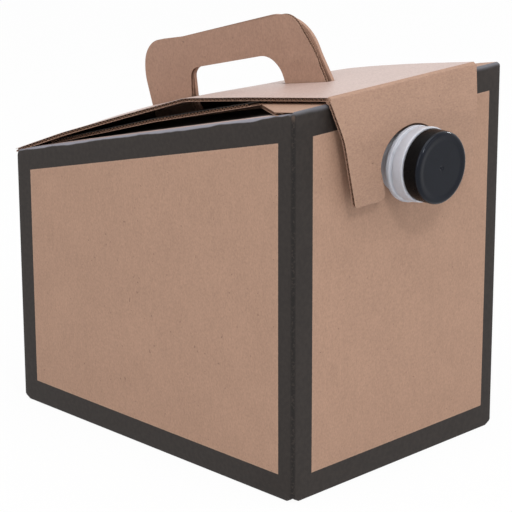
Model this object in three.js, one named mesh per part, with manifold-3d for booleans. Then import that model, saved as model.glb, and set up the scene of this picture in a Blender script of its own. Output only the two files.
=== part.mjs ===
// A disposable beverage dispenser box: a corrugated carton with a carrying handle, a slotted lid, a
// notched tongue over the spout, a drink bag, and a moulded spout with its screw cap.
// Millimetres, +Z up. X runs across the front panel, the spout points along -Y, and the origin is the
// centre of the carton's base.
import * as THREE from 'three';
import * as BufferGeometryUtils from 'three/addons/utils/BufferGeometryUtils.js';
import Module from 'manifold-3d';

const wasm = await Module();
wasm.setup();

// Carton
const BOX_WIDTH = 162;
const BOX_LENGTH = 222;
const FRONT_HEIGHT = 210;
const BACK_HEIGHT = 149;
const BOARD = 2;
const CORNER_RADIUS = 2.4;
const TOUCH_GAP = 0.3;

// Spout, below the front panel's top, and from its axis and the panel's outer face
const SPOUT_DROP = 37.2;
const BARREL_RADIUS = 20.2;
const BARREL_REACH = 18.4;
const RING_REACH = 10;
const GROOVE_WIDTH = 1.2;
const GROOVE_DEPTH = 1;
const COLLAR_RADIUS = 27;
const COLLAR_THICKNESS = 2;
const PANEL_HOLE_CLEARANCE = 0.6;
const NECK_RADIUS = 17;
const NECK_LENGTH = 6.8;
const THREAD_MIDDLES = [5.3, 2.7];
const THREAD_HEIGHT = 0.6;
const THREAD_WIDTH = 1.2;
const BORE_RADIUS = 14.6;

// Cap
const CAP_RADIUS = 19.4;
const CAP_HEIGHT = 10.2;
const CAP_WALL = 1.4;
const CAP_TOP = 2;
const CAP_EDGE_RADIUS = 2;
const CAP_DISH = 0.4;
const LINER_THICKNESS = 0.9;

// Handle plies, as corners: distance back from the carton's middle, height above the side panel's top
// edge, and radius
const PLY_SPACING = 2;
const HANDLE_FRONT = -65;
const HANDLE_BACK = 86.5;
const HANDLE_CORNERS = [[HANDLE_BACK - 12, -6, 0], [HANDLE_BACK, 30.8, 30], [HANDLE_BACK - 0.5, 49.7, 16],
  [HANDLE_BACK - 28.5, 48.6, 60], [HANDLE_FRONT + 27, 51.9, 18], [HANDLE_FRONT, -1.9, 0]];
const HAND_HOLE_CORNERS = [[HANDLE_BACK - 39.7, 3.4, 6], [HANDLE_BACK - 39.3, 29.5, 7],
  [HANDLE_FRONT + 43.5, 30.1, 15], [HANDLE_FRONT + 33, 2.7, 5]];

// Inner flaps under the lid
const SIDE_FLAP_DROP = 1.2;
const FLAP_BEHIND_HANDLE = 7.5;
const LEFT_FLAP_FRONT = 14;
const RIGHT_FLAP_BEFORE_HANDLE = 3.5;
const RIGHT_FLAP_INSET = 10;
const RIGHT_FLAP_RISE_FRONT = 8.2;
const RIGHT_FLAP_RISE_BACK = 2.4;
const WINDOW_WIDTH = 53;
const WINDOW_MARGIN = 1.5;
const FRONT_FLAP_DEPTH = 41;
const FRONT_FLAP_RISE = 7.6;
const FRONT_FLAP_TAPER = 8.5;

// Lid and tongue. The swell is where the lid's upper face lies above the side panels' top edge.
const LID_BACK_RISE = 2.3;
const LID_SWELL = [[75, 7.9], [30, 12.5], [-16, 16.9], [-62, 11.7]];
const FOLD_REACH = 2.4;
const FOLD_RISE = 5.6;
const FOLD_HALF_WIDTH = 57;
const SLOT_CLEARANCE = 0.6;
const SLOT_END_INSET = 3.5;
const SLOT_CORNER = 1.2;
const KINK_REACH = 8;
const KINK_DROP = 16.7;
const KINK_HALF_WIDTH = 51.8;
const TONGUE_BELOW_SPOUT = 17.2;
const TONGUE_BOTTOM_REACH = 10.8;
const TONGUE_BOTTOM_HALF_WIDTH = 44;
const TONGUE_OUTER_RADIUS = 1;
const TONGUE_NOTCH_RADIUS = 5;
const NOTCH_CLEARANCE = 1.8;

// Drink bag
const BAG_SIDE_CLEARANCE = 5;
const BAG_BEVEL = 14;
const BAG_BACK_DROP = 35;
const BAG_FRONT_DROP = 32;
const BAG_FLOOR_RADIUS = 6;
const BAG_BACK_RADIUS = 20;
const BAG_FRONT_RADIUS = 12;

const ARC_STEPS = 8;
const ROUND_STEPS = 64;
const STRAIGHT_HALF_ANGLE = 1.55;
const BEYOND = 400;

const HALF_WIDTH = BOX_WIDTH / 2;
const HALF_LENGTH = BOX_LENGTH / 2;
const FRONT_FACE = -HALF_LENGTH;
const PANEL_INSIDE = FRONT_FACE + BOARD;
const SIDE_SLOPE = (FRONT_HEIGHT - BACK_HEIGHT) / BOX_LENGTH;
const CAP_BACK = BARREL_REACH + TOUCH_GAP;
const CAP_FACE = CAP_BACK + CAP_HEIGHT;
const PLY_OUTSIDE = PLY_SPACING / 2 + BOARD;
const PLY_INSIDE = PLY_SPACING / 2;
const BARREL_HOLE_RADIUS = BARREL_RADIUS + PANEL_HOLE_CLEARANCE;
const NOTCH_HALF_WIDTH = BARREL_RADIUS + NOTCH_CLEARANCE;
const LID_HINGE = [HALF_LENGTH, BACK_HEIGHT + TOUCH_GAP];
const SPOUT_HEIGHT = FRONT_HEIGHT - SPOUT_DROP;
const SIDE_FLAP_END = HANDLE_BACK + FLAP_BEHIND_HANDLE;

// The height of the side panel's slanted top edge at a distance y from the carton's middle.
const sideTop = (y) => BACK_HEIGHT + SIDE_SLOPE * (HALF_LENGTH - y);

// Geometry to solid and back
function toSolid(geometry) {
  const bare = geometry.clone();
  bare.deleteAttribute('normal');
  bare.deleteAttribute('uv');
  const merged = BufferGeometryUtils.mergeVertices(bare, 1e-5);
  return new wasm.Manifold(new wasm.Mesh({
    numProp: 3,
    vertProperties: new Float32Array(merged.attributes.position.array),
    triVerts: new Uint32Array(merged.index.array),
  }));
}

function toGeometry(solid) {
  const mesh = solid.getMesh();
  const geometry = new THREE.BufferGeometry();
  geometry.setAttribute('position', new THREE.BufferAttribute(mesh.vertProperties, mesh.numProp));
  geometry.setIndex(new THREE.BufferAttribute(mesh.triVerts, 1));
  return geometry;
}

// The points of a closed outline whose corners [a, b, radius] are rounded by tangent arcs.
function roundedLoop(corners) {
  const points = [];
  corners.forEach(([a, b, radius], i) => {
    const corner = new THREE.Vector2(a, b);
    const before = new THREE.Vector2(...corners[(i + corners.length - 1) % corners.length]);
    const after = new THREE.Vector2(...corners[(i + 1) % corners.length]);
    const toBefore = before.sub(corner).normalize();
    const toAfter = after.sub(corner).normalize();
    const half = Math.acos(THREE.MathUtils.clamp(toBefore.dot(toAfter), -1, 1)) / 2;
    if (radius === 0 || half > STRAIGHT_HALF_ANGLE) {
      points.push(corner);
      return;
    }
    const centre = corner.clone().addScaledVector(
      toBefore.clone().add(toAfter).normalize(), radius / Math.sin(half));
    const start = corner.clone().addScaledVector(toBefore, radius / Math.tan(half)).sub(centre);
    const end = corner.clone().addScaledVector(toAfter, radius / Math.tan(half)).sub(centre);
    const sweep = Math.atan2(start.cross(end), start.dot(end));
    for (let k = 0; k <= ARC_STEPS; k += 1) {
      points.push(start.clone().rotateAround(new THREE.Vector2(), sweep * k / ARC_STEPS).add(centre));
    }
  });
  return points;
}

// Prisms of an outline along X (outline in y, z), along Y (outline in x, z) and along Z (outline in x, y)
const alongX = new THREE.Matrix4().makeBasis(
  new THREE.Vector3(0, 1, 0), new THREE.Vector3(0, 0, 1), new THREE.Vector3(1, 0, 0));
const alongY = new THREE.Matrix4().makeBasis(
  new THREE.Vector3(1, 0, 0), new THREE.Vector3(0, 0, 1), new THREE.Vector3(0, -1, 0));

function extrude(points, depth, holes = []) {
  const shape = new THREE.Shape(points.map((p) => new THREE.Vector2(p[0] ?? p.x, p[1] ?? p.y)));
  holes.forEach((hole) => shape.holes.push(new THREE.Path(hole)));
  return new THREE.ExtrudeGeometry(shape, { depth, bevelEnabled: false });
}

function prismX(points, from, to, holes = []) {
  return toSolid(extrude(points, to - from, holes).applyMatrix4(alongX).translate(from, 0, 0));
}

function prismY(points, from, to) {
  return toSolid(extrude(points, to - from).applyMatrix4(alongY).translate(0, to, 0));
}

function prismZ(points, from, to) {
  return toSolid(extrude(points, to - from).translate(0, 0, from));
}

// A plate of board whose upper face has the four given corners, counter-clockwise from above.
function plate(corners) {
  const position = [];
  corners.forEach(([x, y, z]) => position.push(x, y, z));
  corners.forEach(([x, y, z]) => position.push(x, y, z - BOARD));
  const geometry = new THREE.BufferGeometry();
  geometry.setAttribute('position', new THREE.Float32BufferAttribute(position, 3));
  geometry.setIndex([0, 1, 2, 0, 2, 3, 4, 6, 5, 4, 7, 6,
    0, 4, 5, 0, 5, 1, 1, 5, 6, 1, 6, 2, 2, 6, 7, 2, 7, 3, 3, 7, 4, 3, 4, 0]);
  return toSolid(geometry);
}

// A turned piece about the spout's axis, from points [radius, reach in front of the panel's face].
// The reach falls from point to point on the outside, so that the faces point out.
function turned(profile) {
  const points = profile.map(([radius, reach]) => new THREE.Vector2(radius, FRONT_FACE - reach));
  const geometry = new THREE.LatheGeometry(points, ROUND_STEPS);
  return toSolid(geometry.translate(0, 0, SPOUT_HEIGHT));
}

// Carton: the walls and bottom, then the flaps and handle plies that are folded from the same blank
function cartonShell() {
  const plan = [[-HALF_WIDTH, -HALF_LENGTH], [HALF_WIDTH, -HALF_LENGTH],
    [HALF_WIDTH, HALF_LENGTH], [-HALF_WIDTH, HALF_LENGTH]];
  const outline = roundedLoop(plan.map(([x, y]) => [x, y, CORNER_RADIUS]));
  const side = [[-HALF_LENGTH, 0], [HALF_LENGTH, 0], [HALF_LENGTH, BACK_HEIGHT], [-HALF_LENGTH, FRONT_HEIGHT]];
  const outer = prismZ(outline, 0, BEYOND).intersect(prismX(side, -HALF_WIDTH, HALF_WIDTH));
  const inner = plan.map(([x, y]) => [x - Math.sign(x) * BOARD, y - Math.sign(y) * BOARD]);
  return outer.subtract(prismZ(inner, BOARD, BEYOND));
}

function spoutHole() {
  return turned([[0, -COLLAR_RADIUS], [BARREL_HOLE_RADIUS, -COLLAR_RADIUS],
    [BARREL_HOLE_RADIUS, COLLAR_RADIUS], [0, COLLAR_RADIUS]].reverse());
}

// The front inner flap lies back under the lid, with its free edge above the side panels' top edge and
// its sides tapered in.
function frontFlap() {
  const hinge = FRONT_FACE + BOARD / 2;
  const free = FRONT_FACE + FRONT_FLAP_DEPTH;
  const freeTop = sideTop(free) + FRONT_FLAP_RISE;
  const freeHalf = HALF_WIDTH - FRONT_FLAP_TAPER;
  return plate([[-HALF_WIDTH + BOARD / 2, hinge, FRONT_HEIGHT], [HALF_WIDTH - BOARD / 2, hinge, FRONT_HEIGHT],
    [freeHalf, free, freeTop], [-freeHalf, free, freeTop]]);
}

// The left flap runs from the left panel's top edge to the near handle ply.
function leftFlap() {
  const front = FRONT_FACE + LEFT_FLAP_FRONT;
  const back = SIDE_FLAP_END;
  const hinge = -HALF_WIDTH + BOARD / 2;
  return plate([[hinge, front, sideTop(front)],
    [-PLY_INSIDE, front, sideTop(front) - SIDE_FLAP_DROP],
    [-PLY_INSIDE, back, sideTop(back) - SIDE_FLAP_DROP],
    [hinge, back, sideTop(back)]]);
}

// The right flap crosses over the left one, rising to its free edge near the left panel. Its window is
// where the far handle ply was cut out, and the near ply stands up through it.
const rightFlapSpan = BOX_WIDTH - BOARD / 2 - RIGHT_FLAP_INSET;
const rightFlapFront = HANDLE_FRONT - RIGHT_FLAP_BEFORE_HANDLE;
const rightFlapRise = (x, y) => {
  const share = (SIDE_FLAP_END - y) / (SIDE_FLAP_END - rightFlapFront);
  const rise = RIGHT_FLAP_RISE_BACK + (RIGHT_FLAP_RISE_FRONT - RIGHT_FLAP_RISE_BACK) * share;
  return rise * (HALF_WIDTH - BOARD / 2 - x) / rightFlapSpan;
};

function rightFlap() {
  const front = rightFlapFront;
  const back = SIDE_FLAP_END;
  const hinge = HALF_WIDTH - BOARD / 2;
  const free = -HALF_WIDTH + RIGHT_FLAP_INSET;
  const corner = (x, y) => [x, y, sideTop(y) + rightFlapRise(x, y)];
  const sheet = plate([corner(free, front), corner(hinge, front), corner(hinge, back), corner(free, back)]);
  const windowFront = HANDLE_FRONT - WINDOW_MARGIN;
  const windowBack = HANDLE_BACK + WINDOW_MARGIN;
  const cut = [[PLY_INSIDE - WINDOW_WIDTH, windowFront], [PLY_INSIDE, windowFront],
    [PLY_INSIDE, windowBack], [PLY_INSIDE - WINDOW_WIDTH, windowBack]];
  return sheet.subtract(prismZ(cut, 0, BEYOND));
}

// A handle ply stands on its flap: its outline is cut off along the flap's slanted fold.
function handlePly(from, to, foldDrop) {
  const raised = (corners) => corners.map(([y, rise, radius]) => [y, sideTop(y) + rise, radius]);
  const outline = [[HANDLE_CORNERS[0][0], 0, 0], ...raised(HANDLE_CORNERS), [HANDLE_FRONT, 0, 0]];
  const ply = prismX(roundedLoop(outline), from, to, [roundedLoop(raised(HAND_HOLE_CORNERS))]);
  const under = [[-BEYOND, -BEYOND], [BEYOND, -BEYOND],
    [BEYOND, sideTop(BEYOND) + foldDrop], [-BEYOND, sideTop(-BEYOND) + foldDrop]];
  return ply.subtract(prismX(under, from - BOARD, to + BOARD));
}

function cartonBody() {
  const farRise = rightFlapRise(PLY_INSIDE, HANDLE_BACK);
  return cartonShell()
    .add(frontFlap())
    .add(leftFlap())
    .add(rightFlap())
    .add(handlePly(-PLY_OUTSIDE, -PLY_INSIDE, -SIDE_FLAP_DROP - BOARD / 2))
    .add(handlePly(PLY_INSIDE, PLY_OUTSIDE, farRise - BOARD / 2))
    .subtract(spoutHole());
}

// Lid: a bent panel from the back panel's top edge to the front fold, with a rounded nose at the fold
const foldAxis = [FRONT_FACE - FOLD_REACH + BOARD, FRONT_HEIGHT + FOLD_RISE - BOARD];

// The points of a bent board's two faces, from the centre line of its upper face.
function bentBoard(upper, startNormal, endNormal) {
  const lower = upper.map(([a, b], i) => {
    const before = upper[Math.max(i - 1, 0)];
    const after = upper[Math.min(i + 1, upper.length - 1)];
    const along = new THREE.Vector2(after[0] - before[0], after[1] - before[1]).normalize();
    const fixed = { 0: startNormal, [upper.length - 1]: endNormal }[i];
    return fixed ? [a + fixed[0], b + fixed[1]] : [a - along.y * BOARD, b + along.x * BOARD];
  });
  return [...upper, ...lower.reverse()];
}

function lidPanel() {
  const swell = LID_SWELL.map(([y, rise]) => [y, sideTop(y) + rise]);
  const last = swell[swell.length - 1];
  const rise = Math.atan2(foldAxis[1] + BOARD - last[1], last[0] - foldAxis[0]);
  const noseTop = [foldAxis[0] + BOARD * -Math.sin(rise), foldAxis[1] + BOARD * Math.cos(rise)];
  const upper = [[LID_HINGE[0], LID_HINGE[1] + LID_BACK_RISE], ...swell, noseTop];
  const profile = bentBoard(upper, [0, LID_HINGE[1] - upper[0][1]],
    [foldAxis[0] - noseTop[0], foldAxis[1] - noseTop[1]]);
  const nose = [foldAxis];
  for (let k = 0; k <= 2 * ARC_STEPS; k += 1) {
    const angle = Math.PI / 2 + rise + (Math.PI - rise) * k / (2 * ARC_STEPS);
    nose.push([foldAxis[0] + BOARD * Math.cos(angle), foldAxis[1] + BOARD * Math.sin(angle)]);
  }
  return prismX(profile, -HALF_WIDTH, HALF_WIDTH).add(prismX(nose, -HALF_WIDTH, HALF_WIDTH));
}

function lid() {
  const frontEnd = foldAxis[0] - BOARD;
  const plan = [[-HALF_WIDTH, HALF_LENGTH], [-FOLD_HALF_WIDTH, frontEnd - TOUCH_GAP],
    [FOLD_HALF_WIDTH, frontEnd - TOUCH_GAP], [HALF_WIDTH, HALF_LENGTH]];
  const slotHalf = PLY_OUTSIDE + SLOT_CLEARANCE;
  const slotFront = HANDLE_FRONT + SLOT_END_INSET;
  const slotBack = HANDLE_BACK - SLOT_END_INSET;
  const slot = roundedLoop([[-slotHalf, slotFront, SLOT_CORNER], [slotHalf, slotFront, SLOT_CORNER],
    [slotHalf, slotBack, SLOT_CORNER], [-slotHalf, slotBack, SLOT_CORNER]]);
  return lidPanel().intersect(prismZ(plan, 0, BEYOND)).subtract(prismZ(slot, 0, BEYOND));
}

// Tongue: hangs from the lid's fold, leans out to a kink, then hangs down, with a notch for the spout.
// Its top is hollowed about the fold's axis, so that it turns on the lid's nose.
function tongue() {
  const start = foldAxis[1];
  const kinkHeight = FRONT_HEIGHT - KINK_DROP;
  const bottom = SPOUT_HEIGHT - TONGUE_BELOW_SPOUT;
  const kinkFace = FRONT_FACE - KINK_REACH;
  const bottomFace = FRONT_FACE - TONGUE_BOTTOM_REACH;
  const outer = [[foldAxis[0] - BOARD, start], [kinkFace, kinkHeight], [bottomFace, bottom]];
  const profile = bentBoard(outer, [BOARD, 0], [BOARD, 0]);
  const front = [[-FOLD_HALF_WIDTH, start, 0], [-KINK_HALF_WIDTH, kinkHeight, 0],
    [-TONGUE_BOTTOM_HALF_WIDTH, bottom, TONGUE_OUTER_RADIUS],
    [-NOTCH_HALF_WIDTH, bottom, TONGUE_NOTCH_RADIUS],
    [-NOTCH_HALF_WIDTH, SPOUT_HEIGHT, 0]];
  for (let k = 1; k < 2 * ARC_STEPS; k += 1) {
    const angle = Math.PI - Math.PI * k / (2 * ARC_STEPS);
    front.push([NOTCH_HALF_WIDTH * Math.cos(angle), SPOUT_HEIGHT + NOTCH_HALF_WIDTH * Math.sin(angle), 0]);
  }
  front.push([NOTCH_HALF_WIDTH, SPOUT_HEIGHT, 0],
    [NOTCH_HALF_WIDTH, bottom, TONGUE_NOTCH_RADIUS],
    [TONGUE_BOTTOM_HALF_WIDTH, bottom, TONGUE_OUTER_RADIUS],
    [KINK_HALF_WIDTH, kinkHeight, 0], [FOLD_HALF_WIDTH, start, 0]);
  const reach = BOARD + TOUCH_GAP;
  const hollow = [];
  for (let k = 0; k < ROUND_STEPS; k += 1) {
    const angle = 2 * Math.PI * k / ROUND_STEPS;
    hollow.push([foldAxis[0] + reach * Math.cos(angle), foldAxis[1] + reach * Math.sin(angle)]);
  }
  return prismX(profile, -HALF_WIDTH, HALF_WIDTH)
    .intersect(prismY(roundedLoop(front), FRONT_FACE - BEYOND, FRONT_FACE))
    .subtract(prismX(hollow, -HALF_WIDTH - BOARD, HALF_WIDTH + BOARD));
}

// Spout: one moulding with a collar inside the panel, the grooved barrel and the threaded neck
function spoutFitment() {
  const collarFront = -BOARD - TOUCH_GAP;
  const collarBack = collarFront - COLLAR_THICKNESS;
  const neckEnd = BARREL_REACH + NECK_LENGTH;
  const profile = [[BORE_RADIUS, neckEnd], [NECK_RADIUS, neckEnd]];
  THREAD_MIDDLES.forEach((beyond) => {
    const middle = BARREL_REACH + beyond;
    profile.push([NECK_RADIUS, middle + THREAD_WIDTH / 2], [NECK_RADIUS + THREAD_HEIGHT, middle],
      [NECK_RADIUS, middle - THREAD_WIDTH / 2]);
  });
  profile.push([NECK_RADIUS, BARREL_REACH], [BARREL_RADIUS - GROOVE_DEPTH / 2, BARREL_REACH],
    [BARREL_RADIUS, BARREL_REACH - GROOVE_DEPTH / 2], [BARREL_RADIUS, RING_REACH + GROOVE_WIDTH],
    [BARREL_RADIUS - GROOVE_DEPTH, RING_REACH + GROOVE_WIDTH / 2], [BARREL_RADIUS, RING_REACH],
    [BARREL_RADIUS, collarFront], [COLLAR_RADIUS, collarFront], [COLLAR_RADIUS, collarBack],
    [BORE_RADIUS, collarBack], [BORE_RADIUS, neckEnd]);
  return turned(profile);
}

// Cap: a cup with a rounded edge and a slightly dished face
function cap() {
  const inside = CAP_RADIUS - CAP_WALL;
  const profile = [[0, CAP_FACE - CAP_DISH], [CAP_RADIUS - 2 * CAP_EDGE_RADIUS, CAP_FACE - CAP_DISH]];
  for (let k = 0; k <= ARC_STEPS / 2; k += 1) {
    const angle = Math.PI / 2 * k / (ARC_STEPS / 2);
    profile.push([CAP_RADIUS - CAP_EDGE_RADIUS + CAP_EDGE_RADIUS * Math.sin(angle),
      CAP_FACE - CAP_EDGE_RADIUS + CAP_EDGE_RADIUS * Math.cos(angle)]);
  }
  profile.push([CAP_RADIUS, CAP_BACK], [inside, CAP_BACK], [inside, CAP_FACE - CAP_TOP],
    [0, CAP_FACE - CAP_TOP]);
  return turned(profile);
}

function capLiner() {
  const front = CAP_FACE - CAP_TOP - TOUCH_GAP;
  const radius = CAP_RADIUS - CAP_WALL - 2 * TOUCH_GAP;
  return turned([[0, front], [radius, front], [radius, front - LINER_THICKNESS], [0, front - LINER_THICKNESS]]);
}

// Bag: a full pillow that stands on the bottom and meets the spout's collar
function bag() {
  const front = PANEL_INSIDE + 2 * TOUCH_GAP + COLLAR_THICKNESS;
  const back = HALF_LENGTH - BOARD - BAG_SIDE_CLEARANCE;
  const floor = BOARD + TOUCH_GAP;
  const reach = HALF_WIDTH - BOARD - BAG_SIDE_CLEARANCE;
  const shape = new THREE.Shape(roundedLoop([[front + BAG_BEVEL, floor + BAG_BEVEL, BAG_FLOOR_RADIUS],
    [back - BAG_BEVEL, floor + BAG_BEVEL, BAG_FLOOR_RADIUS],
    [back - BAG_BEVEL, BACK_HEIGHT - BAG_BACK_DROP, BAG_BACK_RADIUS],
    [front + BAG_BEVEL, FRONT_HEIGHT - BAG_FRONT_DROP, BAG_FRONT_RADIUS]]));
  const geometry = new THREE.ExtrudeGeometry(shape, {
    depth: 2 * (reach - BAG_BEVEL),
    bevelThickness: BAG_BEVEL,
    bevelSize: BAG_BEVEL,
    bevelSegments: 3,
  });
  return toSolid(geometry.translate(0, 0, BAG_BEVEL - reach).applyMatrix4(alongX));
}

const kraft = { color: 0xac8e7d, roughness: 0.9, metalness: 0 };
const group = new THREE.Group();

function addPart(name, solid, look) {
  const mesh = new THREE.Mesh(toGeometry(solid), new THREE.MeshStandardMaterial(look));
  mesh.name = name;
  group.add(mesh);
}

addPart('carton_body', cartonBody(), kraft);
addPart('lid', lid(), kraft);
addPart('tongue', tongue(), kraft);
addPart('bag', bag(), { color: 0xc8ccd0, roughness: 0.35, metalness: 0.2 });
addPart('spout_fitment', spoutFitment(), { color: 0xb4b6ba, roughness: 0.4, metalness: 0 });
addPart('cap_liner', capLiner(), { color: 0xe6e6e2, roughness: 0.7, metalness: 0 });
addPart('cap', cap(), { color: 0x16161a, roughness: 0.3, metalness: 0 });

export default group;
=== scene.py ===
"""A disposable beverage dispenser box: corrugated carton, slotted lid, notched tongue, handle and spout.

Metres, +Z up. X runs across the front panel, the spout points along -Y, and the origin is the centre of
the carton's base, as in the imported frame.
"""

import logging
import math
from collections.abc import Callable
from dataclasses import dataclass, field
from enum import Enum
from functools import cache, reduce

import bpy
import numpy as np
from mathutils import Matrix, Vector
from mathutils.geometry import delaunay_2d_cdt


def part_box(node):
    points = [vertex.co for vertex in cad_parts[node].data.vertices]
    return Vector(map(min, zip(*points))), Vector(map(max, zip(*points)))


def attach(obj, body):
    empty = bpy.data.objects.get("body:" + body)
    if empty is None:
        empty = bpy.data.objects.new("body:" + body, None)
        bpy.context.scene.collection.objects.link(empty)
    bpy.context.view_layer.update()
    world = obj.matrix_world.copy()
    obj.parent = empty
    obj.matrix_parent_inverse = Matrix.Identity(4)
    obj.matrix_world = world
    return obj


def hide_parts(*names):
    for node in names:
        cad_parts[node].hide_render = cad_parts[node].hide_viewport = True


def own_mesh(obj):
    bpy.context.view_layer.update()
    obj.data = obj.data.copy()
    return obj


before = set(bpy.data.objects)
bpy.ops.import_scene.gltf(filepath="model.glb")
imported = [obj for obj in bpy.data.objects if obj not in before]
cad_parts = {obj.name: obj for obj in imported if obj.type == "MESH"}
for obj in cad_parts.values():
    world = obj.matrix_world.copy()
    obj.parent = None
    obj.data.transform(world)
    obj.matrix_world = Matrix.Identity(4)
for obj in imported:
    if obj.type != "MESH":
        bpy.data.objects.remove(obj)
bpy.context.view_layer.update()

MM = 0.001
PHOTO_SIDE_PX = 512
SENSOR_MM = 36.0

log = logging.getLogger("dispenser_box")

Points = np.ndarray
Colour = tuple[float, float, float]
Corner = tuple[float, float, float]
Line = tuple[tuple[float, float], ...]
Faces = list[tuple[int, ...]]
Body = tuple[Points, Faces]
Socket = bpy.types.NodeSocket
Node = bpy.types.Node
Tree = bpy.types.NodeTree
Material = bpy.types.Material
Piece = bpy.types.Object


def linear(red: int, green: int, blue: int) -> Colour:
    """A colour as light, from its three values of 0 to 255 in a picture."""
    shares = (red / 255, green / 255, blue / 255)
    return tuple(s / 12.92 if s <= 0.04045 else ((s + 0.055) / 1.055) ** 2.4 for s in shares)


def opaque(colour: Colour) -> tuple[float, float, float, float]:
    """The colour with a full alpha, as colour sockets take it."""
    return (*colour, 1.0)


def solid(red: int, green: int, blue: int) -> tuple[float, float, float, float]:
    """A colour with a full alpha, from its three values of 0 to 255 in a picture."""
    return opaque(linear(red, green, blue))


# Outlines: closed loops of points in a flat frame


def rounded_loop(corners: list[Corner], steps: int = 8) -> Points:
    """Rounds the corners of a closed outline with tangent arcs.

    Args:
        corners: The corners, each with its radius.
        steps: How many chords an arc has.

    Returns:
        The outline's points, in the order of the corners.
    """
    points = []
    for i, (a, b, radius) in enumerate(corners):
        corner = np.array([a, b])
        before = np.array(corners[i - 1][:2]) - corner
        after = np.array(corners[(i + 1) % len(corners)][:2]) - corner
        before /= np.linalg.norm(before)
        after /= np.linalg.norm(after)
        half = math.acos(max(-1.0, min(1.0, float(before @ after)))) / 2
        if radius == 0:
            points.append(corner)
            continue
        middle = (before + after) / np.linalg.norm(before + after)
        centre = corner + middle * radius / math.sin(half)
        start = corner + before * radius / math.tan(half) - centre
        end = corner + after * radius / math.tan(half) - centre
        sweep = math.atan2(start[0] * end[1] - start[1] * end[0], float(start @ end))
        for k in range(steps + 1):
            c, s = math.cos(sweep * k / steps), math.sin(sweep * k / steps)
            points.append(centre + np.array([c * start[0] - s * start[1], s * start[0] + c * start[1]]))
    return np.array(points)


def subdivided(loop: Points, step: float) -> Points:
    """The same closed outline with no chord longer than a step."""
    points = []
    for a, b in zip(loop, np.roll(loop, -1, axis=0)):
        count = max(1, math.ceil(float(np.linalg.norm(b - a)) / step))
        points.extend(a + (b - a) * k / count for k in range(count))
    return np.array(points)


def inset(loop: Points, distance: float) -> Points:
    """The closed outline moved to its left by a distance, so a counter-clockwise one shrinks."""
    ahead = np.roll(loop, -1, axis=0) - loop
    ahead /= np.maximum(np.linalg.norm(ahead, axis=1, keepdims=True), 1e-12)
    left = np.stack([-ahead[:, 1], ahead[:, 0]], axis=1)
    joint = left + np.roll(left, 1, axis=0)
    joint /= np.maximum(np.linalg.norm(joint, axis=1, keepdims=True), 1e-12)
    reach = distance / np.maximum(np.sum(joint * left, axis=1, keepdims=True), 0.5)
    return loop + joint * reach


def enclosed(points: Points, loops: list[Points]) -> np.ndarray:
    """Which points lie inside the first loop and outside the others, by the even-odd rule."""
    inside = np.zeros(len(points), bool)
    x, y = points[:, 0], points[:, 1]
    for loop in loops:
        for (ax, ay), (bx, by) in zip(loop, np.roll(loop, -1, axis=0)):
            if ay == by:
                continue
            crosses = (ay > y) != (by > y)
            inside ^= crosses & (x < ax + (y - ay) * (bx - ax) / (by - ay))
    return inside


def triangulated(loops: list[Points], spacing: float) -> tuple[Points, list[tuple[int, int, int]]]:
    """Fills an outline and its holes with triangles of about one size.

    Args:
        loops: The outline and then its holes.
        spacing: The distance between the points inside.

    Returns:
        The points, and the counter-clockwise triangles between them.
    """
    edges, corners = [], []
    for loop in loops:
        first = len(corners)
        corners.extend(loop)
        edges.extend((first + i, first + (i + 1) % len(loop)) for i in range(len(loop)))
    corners = np.array(corners)
    lo, hi = corners.min(0), corners.max(0)
    grid = np.stack(np.meshgrid(*[np.arange(a + spacing / 2, b, spacing) for a, b in zip(lo, hi)]), -1)
    grid = grid.reshape(-1, 2)
    grid = grid[enclosed(grid, loops)]
    nearest = np.min(np.linalg.norm(grid[:, None] - corners[None], axis=2), axis=1) if len(grid) else grid
    grid = grid[nearest > spacing / 2] if len(grid) else grid
    everything = [Vector(p) for p in np.concatenate([corners, grid])]
    points, _, faces, *_ = delaunay_2d_cdt(everything, edges, [], 0, 1e-9)
    points = np.array([tuple(p) for p in points])
    middles = np.array([points[list(face)].mean(0) for face in faces])
    kept = enclosed(middles, loops)
    return points, [tuple(face) for face, keep in zip(faces, kept) if keep]


# Meshes


def linked(name: str, data: bpy.types.ID) -> Piece:
    """A new object in the scene."""
    made = bpy.data.objects.new(name, data)
    bpy.context.scene.collection.objects.link(made)
    return made


@dataclass
class MeshStock:
    """Vertices and faces that are gathered before they become one mesh."""

    vertices: list[tuple[float, float, float]] = field(default_factory=list)
    faces: Faces = field(default_factory=list)
    slots: list[int] = field(default_factory=list)

    def add(self, vertices: Points, faces: Faces, slot: int) -> None:
        """Adds a closed body whose faces take their finish from one slot."""
        first = len(self.vertices)
        self.vertices.extend(tuple(float(c) for c in v) for v in vertices)
        self.faces.extend(tuple(first + i for i in face) for face in faces)
        self.slots.extend([slot] * len(faces))

    def add_mesh(self, mesh: bpy.types.Mesh, slot: int) -> None:
        """Adds what another mesh holds."""
        points = np.zeros(len(mesh.vertices) * 3, np.float32)
        mesh.vertices.foreach_get("co", points)
        self.add(points.reshape(-1, 3), [tuple(p.vertices) for p in mesh.polygons], slot)

    def made(self, name: str, materials: list[Material], sharp_deg: float = 35) -> Piece:
        """Makes the object, smooth apart from its sharp edges.

        Args:
            name: The object's name.
            materials: The finishes, in the order of the slots.
            sharp_deg: Edges that turn by more than this stay sharp.

        Returns:
            The linked object.
        """
        mesh = bpy.data.meshes.new(name)
        mesh.from_pydata(self.vertices, [], self.faces)
        mesh.polygons.foreach_set("material_index", self.slots)
        for material in materials:
            mesh.materials.append(material)
        mesh.shade_smooth()
        mesh.set_sharp_from_angle(angle=math.radians(sharp_deg))
        mesh.validate()
        return linked(name, mesh)


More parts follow.
